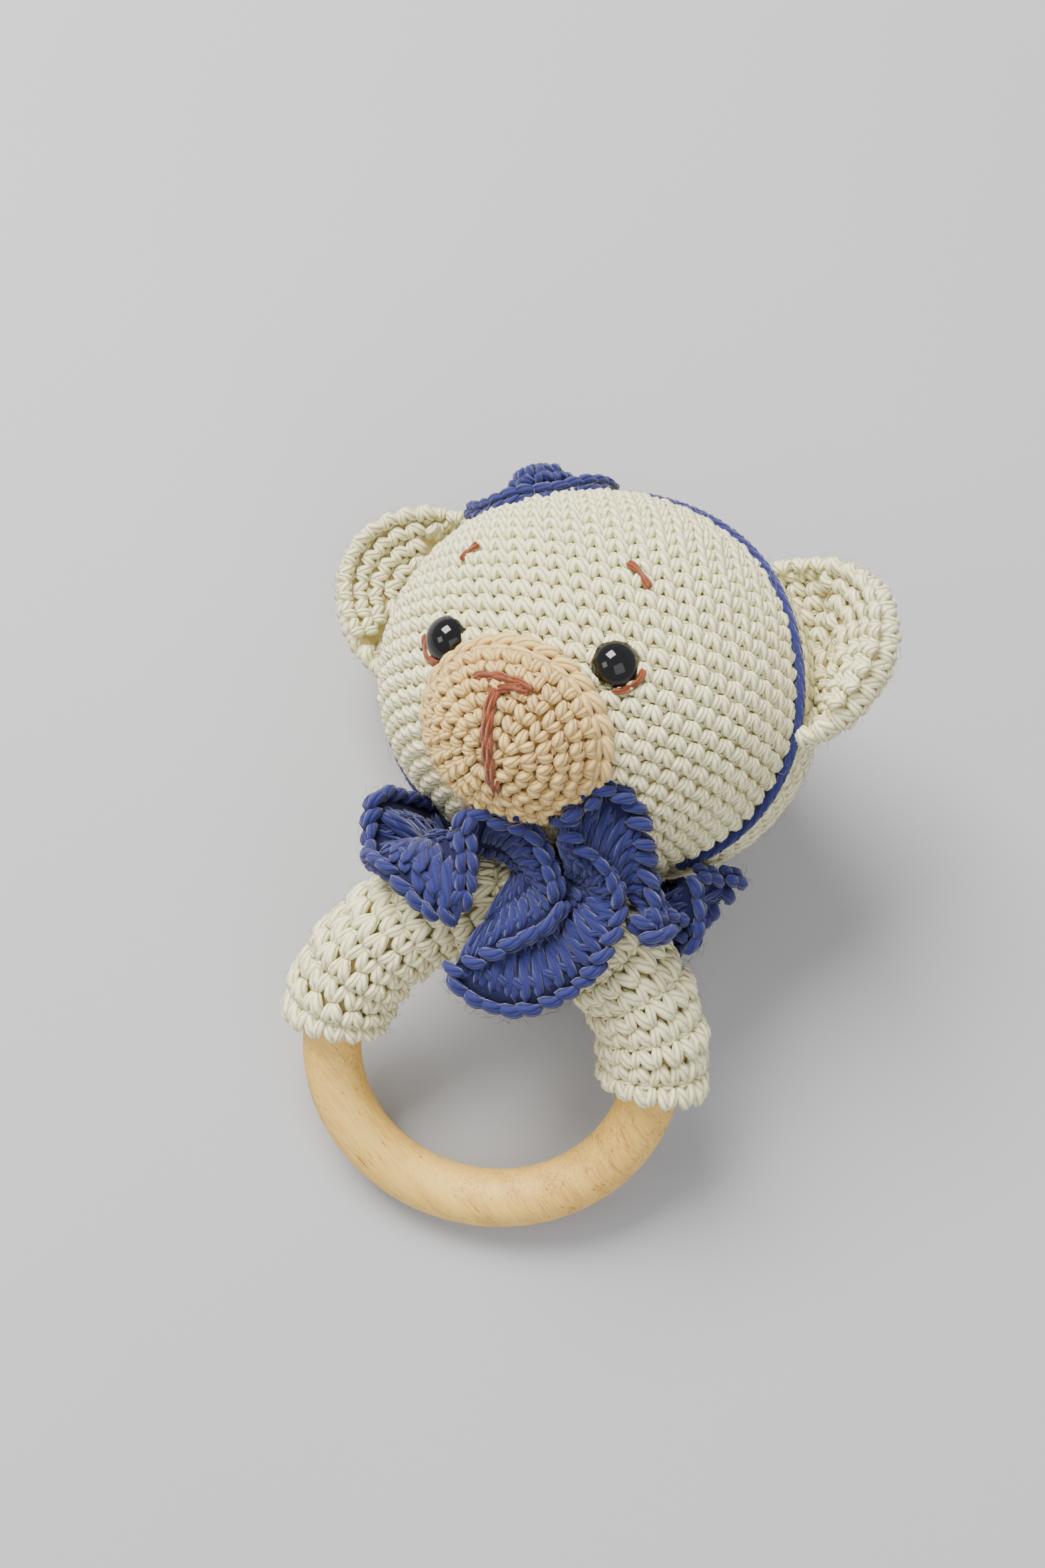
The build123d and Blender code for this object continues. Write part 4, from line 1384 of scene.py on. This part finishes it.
def closed_curve(points, count):
    """A smooth closed curve through the points, and the share of a control step at each of its points."""
    n = len(points)
    t = np.arange(count) / count * n
    i = np.floor(t).astype(int)
    f = (t - i)[:, None]
    p0, p1, p2, p3 = (points[(i + k) % n] for k in (-1, 0, 1, 2))
    return 0.5 * (2 * p1 + (p2 - p0) * f + (2 * p0 - 5 * p1 + 4 * p2 - p3) * f**2
                  + (3 * p1 - p0 - 3 * p2 + p3) * f**3), t


def clear_of_head(row, gap):
    """Moves points in the row frame out of the head and the muzzle."""
    local = (row - HEAD_CENTRE) @ HEAD_AXES
    hits, _ = head_hit(unit(local))
    least = np.linalg.norm(hits, axis=1) + gap
    local = local * np.maximum(1.0, least / np.linalg.norm(local, axis=1))[:, None]
    seen = (local - MUZZLE_ORIGIN) @ MUZZLE_AXES.T
    across = (seen[:, 0] ** 2 + seen[:, 1] ** 2) / (MUZZLE_RADIUS + gap) ** 2
    size = np.sqrt(across + (seen[:, 2] / (MUZZLE_RIM_DROP + MUZZLE_RISE + gap)) ** 2)
    inside = (size < 1) & (seen[:, 2] > -2)
    seen = np.where(inside[:, None], seen / np.maximum(size, 0.2)[:, None], seen)
    return to_row(seen @ MUZZLE_AXES + MUZZLE_ORIGIN)


def clear_at_each_pose(row, gap):
    """Moves the frill's free part out of the sleeve as it stands at each turn and nod of the head."""
    pivot = HEAD_CENTRE - [0, NECK_PIVOT_DROP, 0]
    for turn in HEAD_TURNS:
        for nod in HEAD_NODS:
            pose = turn_about_y(turn) @ nod_about_x(nod)
            offset = row - pivot
            free = np.hypot(offset[:, 0], offset[:, 2]) > FRILL_FREE_RADIUS
            moved = (clear_of_sleeve(offset @ pose.T + pivot, gap) - pivot) @ pose + pivot
            row = np.where(free[:, None], moved, row)
    return row


def nod_about_x(degrees):
    a = math.radians(degrees)
    return np.array([[1, 0, 0], [0, math.cos(a), -math.sin(a)], [0, math.sin(a), math.cos(a)]])


def clear_of_sleeve(row, gap):
    """Moves points in the row frame out of the sleeve's tube."""
    axes = ring_axes()
    ring = (row - ring_centre()) @ axes.T
    spin = unit(ring * [1, 1, 0]) * RING_RADIUS
    off = ring - spin
    distance = np.linalg.norm(off, axis=1)
    push = np.maximum(1.0, (SLEEVE_RADIUS + 0.6 + gap) / np.maximum(distance, 3.0))
    covered = ring[:, 1] > -2
    ring = np.where(covered[:, None], spin + off * push[:, None], ring)
    return ring @ axes + ring_centre()


def frill_surface(columns, rows):
    """Points of the frill's cloth: one row for each step from the neck to the edge, and the edge's steps."""
    pole = HEAD_CENTRE + [0, -HEAD_DROP, 0]
    control, angles = frill_edge()
    edge, t = closed_curve(control, columns)
    steps = np.append(angles, angles[0] + 360)
    a = np.radians(np.interp(t, np.arange(len(steps)), steps))
    way = np.stack([np.sin(a), np.zeros(columns), np.cos(a)], -1)
    s = np.linspace(0, 1, rows)[:, None, None]
    start = way * FRILL_NECK_RADIUS + [0, -0.2, 0]
    sag = -FRILL_SAG * np.maximum(0, edge[:, 1:2] + 12) * [0, 1, 0]
    middle = way * FRILL_FULLNESS + edge * [0.15, 0.45, 0.15] + sag
    surface = (1 - s) ** 2 * start + 2 * s * (1 - s) * middle + s**2 * edge + pole
    points = surface.reshape(-1, 3)
    for _ in range(3):
        points = clear_of_head(points, FRILL_GAP)
        points = clear_at_each_pose(points, FRILL_POSED_GAP)
        points = clear_of_sleeve(points, FRILL_GAP)
    return points.reshape(surface.shape)


class RATTLE_OT_frill(bpy.types.Operator):
    """Crochet the ruffled frill round the neck: its cloth, its posts and the chain along its edge"""

    bl_idname = "rattle.frill"
    bl_label = "Frill"

    def execute(self, context):
        columns, rows = 720, 40
        surface = frill_surface(columns, rows)
        along = unit(np.roll(surface, -1, 1) - np.roll(surface, 1, 1))
        outwards = unit(np.gradient(surface, axis=0))
        normal = unit(np.cross(along, outwards))
        edge_steps = np.linalg.norm(np.roll(surface[-1], -1, 0) - surface[-1], axis=1)
        edge_run = np.concatenate([[0], np.cumsum(edge_steps)])
        length = edge_run[-1]

        thin = 0.35
        skin_columns, skin_rows = np.arange(0, columns, 2), np.arange(0, rows, 3)
        layer = surface[np.ix_(skin_rows, skin_columns)]
        side = normal[np.ix_(skin_rows, skin_columns)]
        whole = np.concatenate([layer - side * thin, (layer + side * thin)[::-1]])
        # The frill's cloth takes the darkened blue ground colour, painted shade under and between the posts.
        cloth = cover(ring_mesh("frill_cloth", whole), "blue_shaded_ground")

        posts = []
        post = sizes().frill_post_width / MM
        for first, last, share in ((0.04, 0.36, 0.45), (0.34, 0.68, 0.75), (0.66, 0.97, 1.0)):
            number = round(length / post * share)
            at = np.interp((np.arange(number) + 0.5) / number * length, edge_run, np.arange(columns + 1))
            column = np.round(at).astype(int) % columns
            low, mid, high = (int(round(k * (rows - 1))) for k in (first, (first + last) / 2, last))
            points = surface[mid, column]
            up = unit(surface[high, column] - surface[low, column])
            out = normal[mid, column]
            way = unit(np.cross(up, out))
            tall = np.linalg.norm(surface[high, column] - surface[low, column], axis=1) / POST_HEIGHT
            wide = np.clip(np.linalg.norm(
                surface[mid, (column + 8) % columns] - surface[mid, column - 8], axis=1)
                / 16 * columns / number / POST_WIDTH, 0.6, 1.7)
            posts.append((points, way, out, np.stack([wide, tall, np.full(number, 0.95)], -1)))
        number = round(length / FRILL_CHAIN_STEP)
        at = np.interp((np.arange(number) + 0.5) / number * length, edge_run, np.arange(columns + 1))
        column = np.round(at).astype(int) % columns
        points = surface[-1, column] + outwards[-1, column] * 0.3
        chain_size = np.tile([length / number / CHAIN_LENGTH, 1.1, 1.15], (number, 1))
        pieces = [
            stitched("frill_posts", STITCHES["post"], *field_arrays(posts), "blue", unevenness=0.08, seed=71),
            stitched("frill_chain", STITCHES["chain"], points, along[-1, column], outwards[-1, column],
                     chain_size, "blue", unevenness=0.06, seed=72),
            fuzz("frill_fuzz", (points, along[-1, column], outwards[-1, column]), 900, "blue", seed=73),
        ]
        yarn = merge("frill_yarn", pieces)
        for obj in (cloth, yarn):
            keep_above_floor(obj)
        finish_piece(yarn, "head")
        finish_piece(cloth, "head", ["neck_frill"])
        return {"FINISHED"}


class RATTLE_PT_panel(bpy.types.Panel):
    """The rattle's parts, sizes and colours"""

    bl_idname = "RATTLE_PT_panel"
    bl_label = "Bear rattle"
    bl_space_type = "VIEW_3D"
    bl_region_type = "UI"
    bl_category = "Rattle"

    def draw(self, context):
        layout = self.layout
        for operator in OPERATORS:
            layout.operator(operator.bl_idname)
        for group in (context.scene.rattle_sizes, context.scene.rattle_colours):
            for name in group.__annotations__:
                layout.prop(group, name)


OPERATORS = (
    RATTLE_OT_stage, RATTLE_OT_ring, RATTLE_OT_inside, RATTLE_OT_sleeve, RATTLE_OT_neck, RATTLE_OT_head,
    RATTLE_OT_muzzle, RATTLE_OT_eyes, RATTLE_OT_face_threads, RATTLE_OT_ears, RATTLE_OT_hat,
    RATTLE_OT_chin_cord, RATTLE_OT_frill,
)
CLASSES = (RattleSizes, RattleColours, *OPERATORS, RATTLE_PT_panel)


def register():
    for cls in CLASSES:
        bpy.utils.register_class(cls)
    bpy.types.Scene.rattle_sizes = bpy.props.PointerProperty(type=RattleSizes)
    bpy.types.Scene.rattle_colours = bpy.props.PointerProperty(type=RattleColours)


def unregister():
    del bpy.types.Scene.rattle_colours
    del bpy.types.Scene.rattle_sizes
    for cls in reversed(CLASSES):
        bpy.utils.unregister_class(cls)


def main():
    register()
    make_materials()
    stitch_kit()
    for operator in OPERATORS:
        group, name = operator.bl_idname.split(".")
        getattr(getattr(bpy.ops, group), name)()
    drop_stitch_kit()


if __name__ == "__main__":
    main()
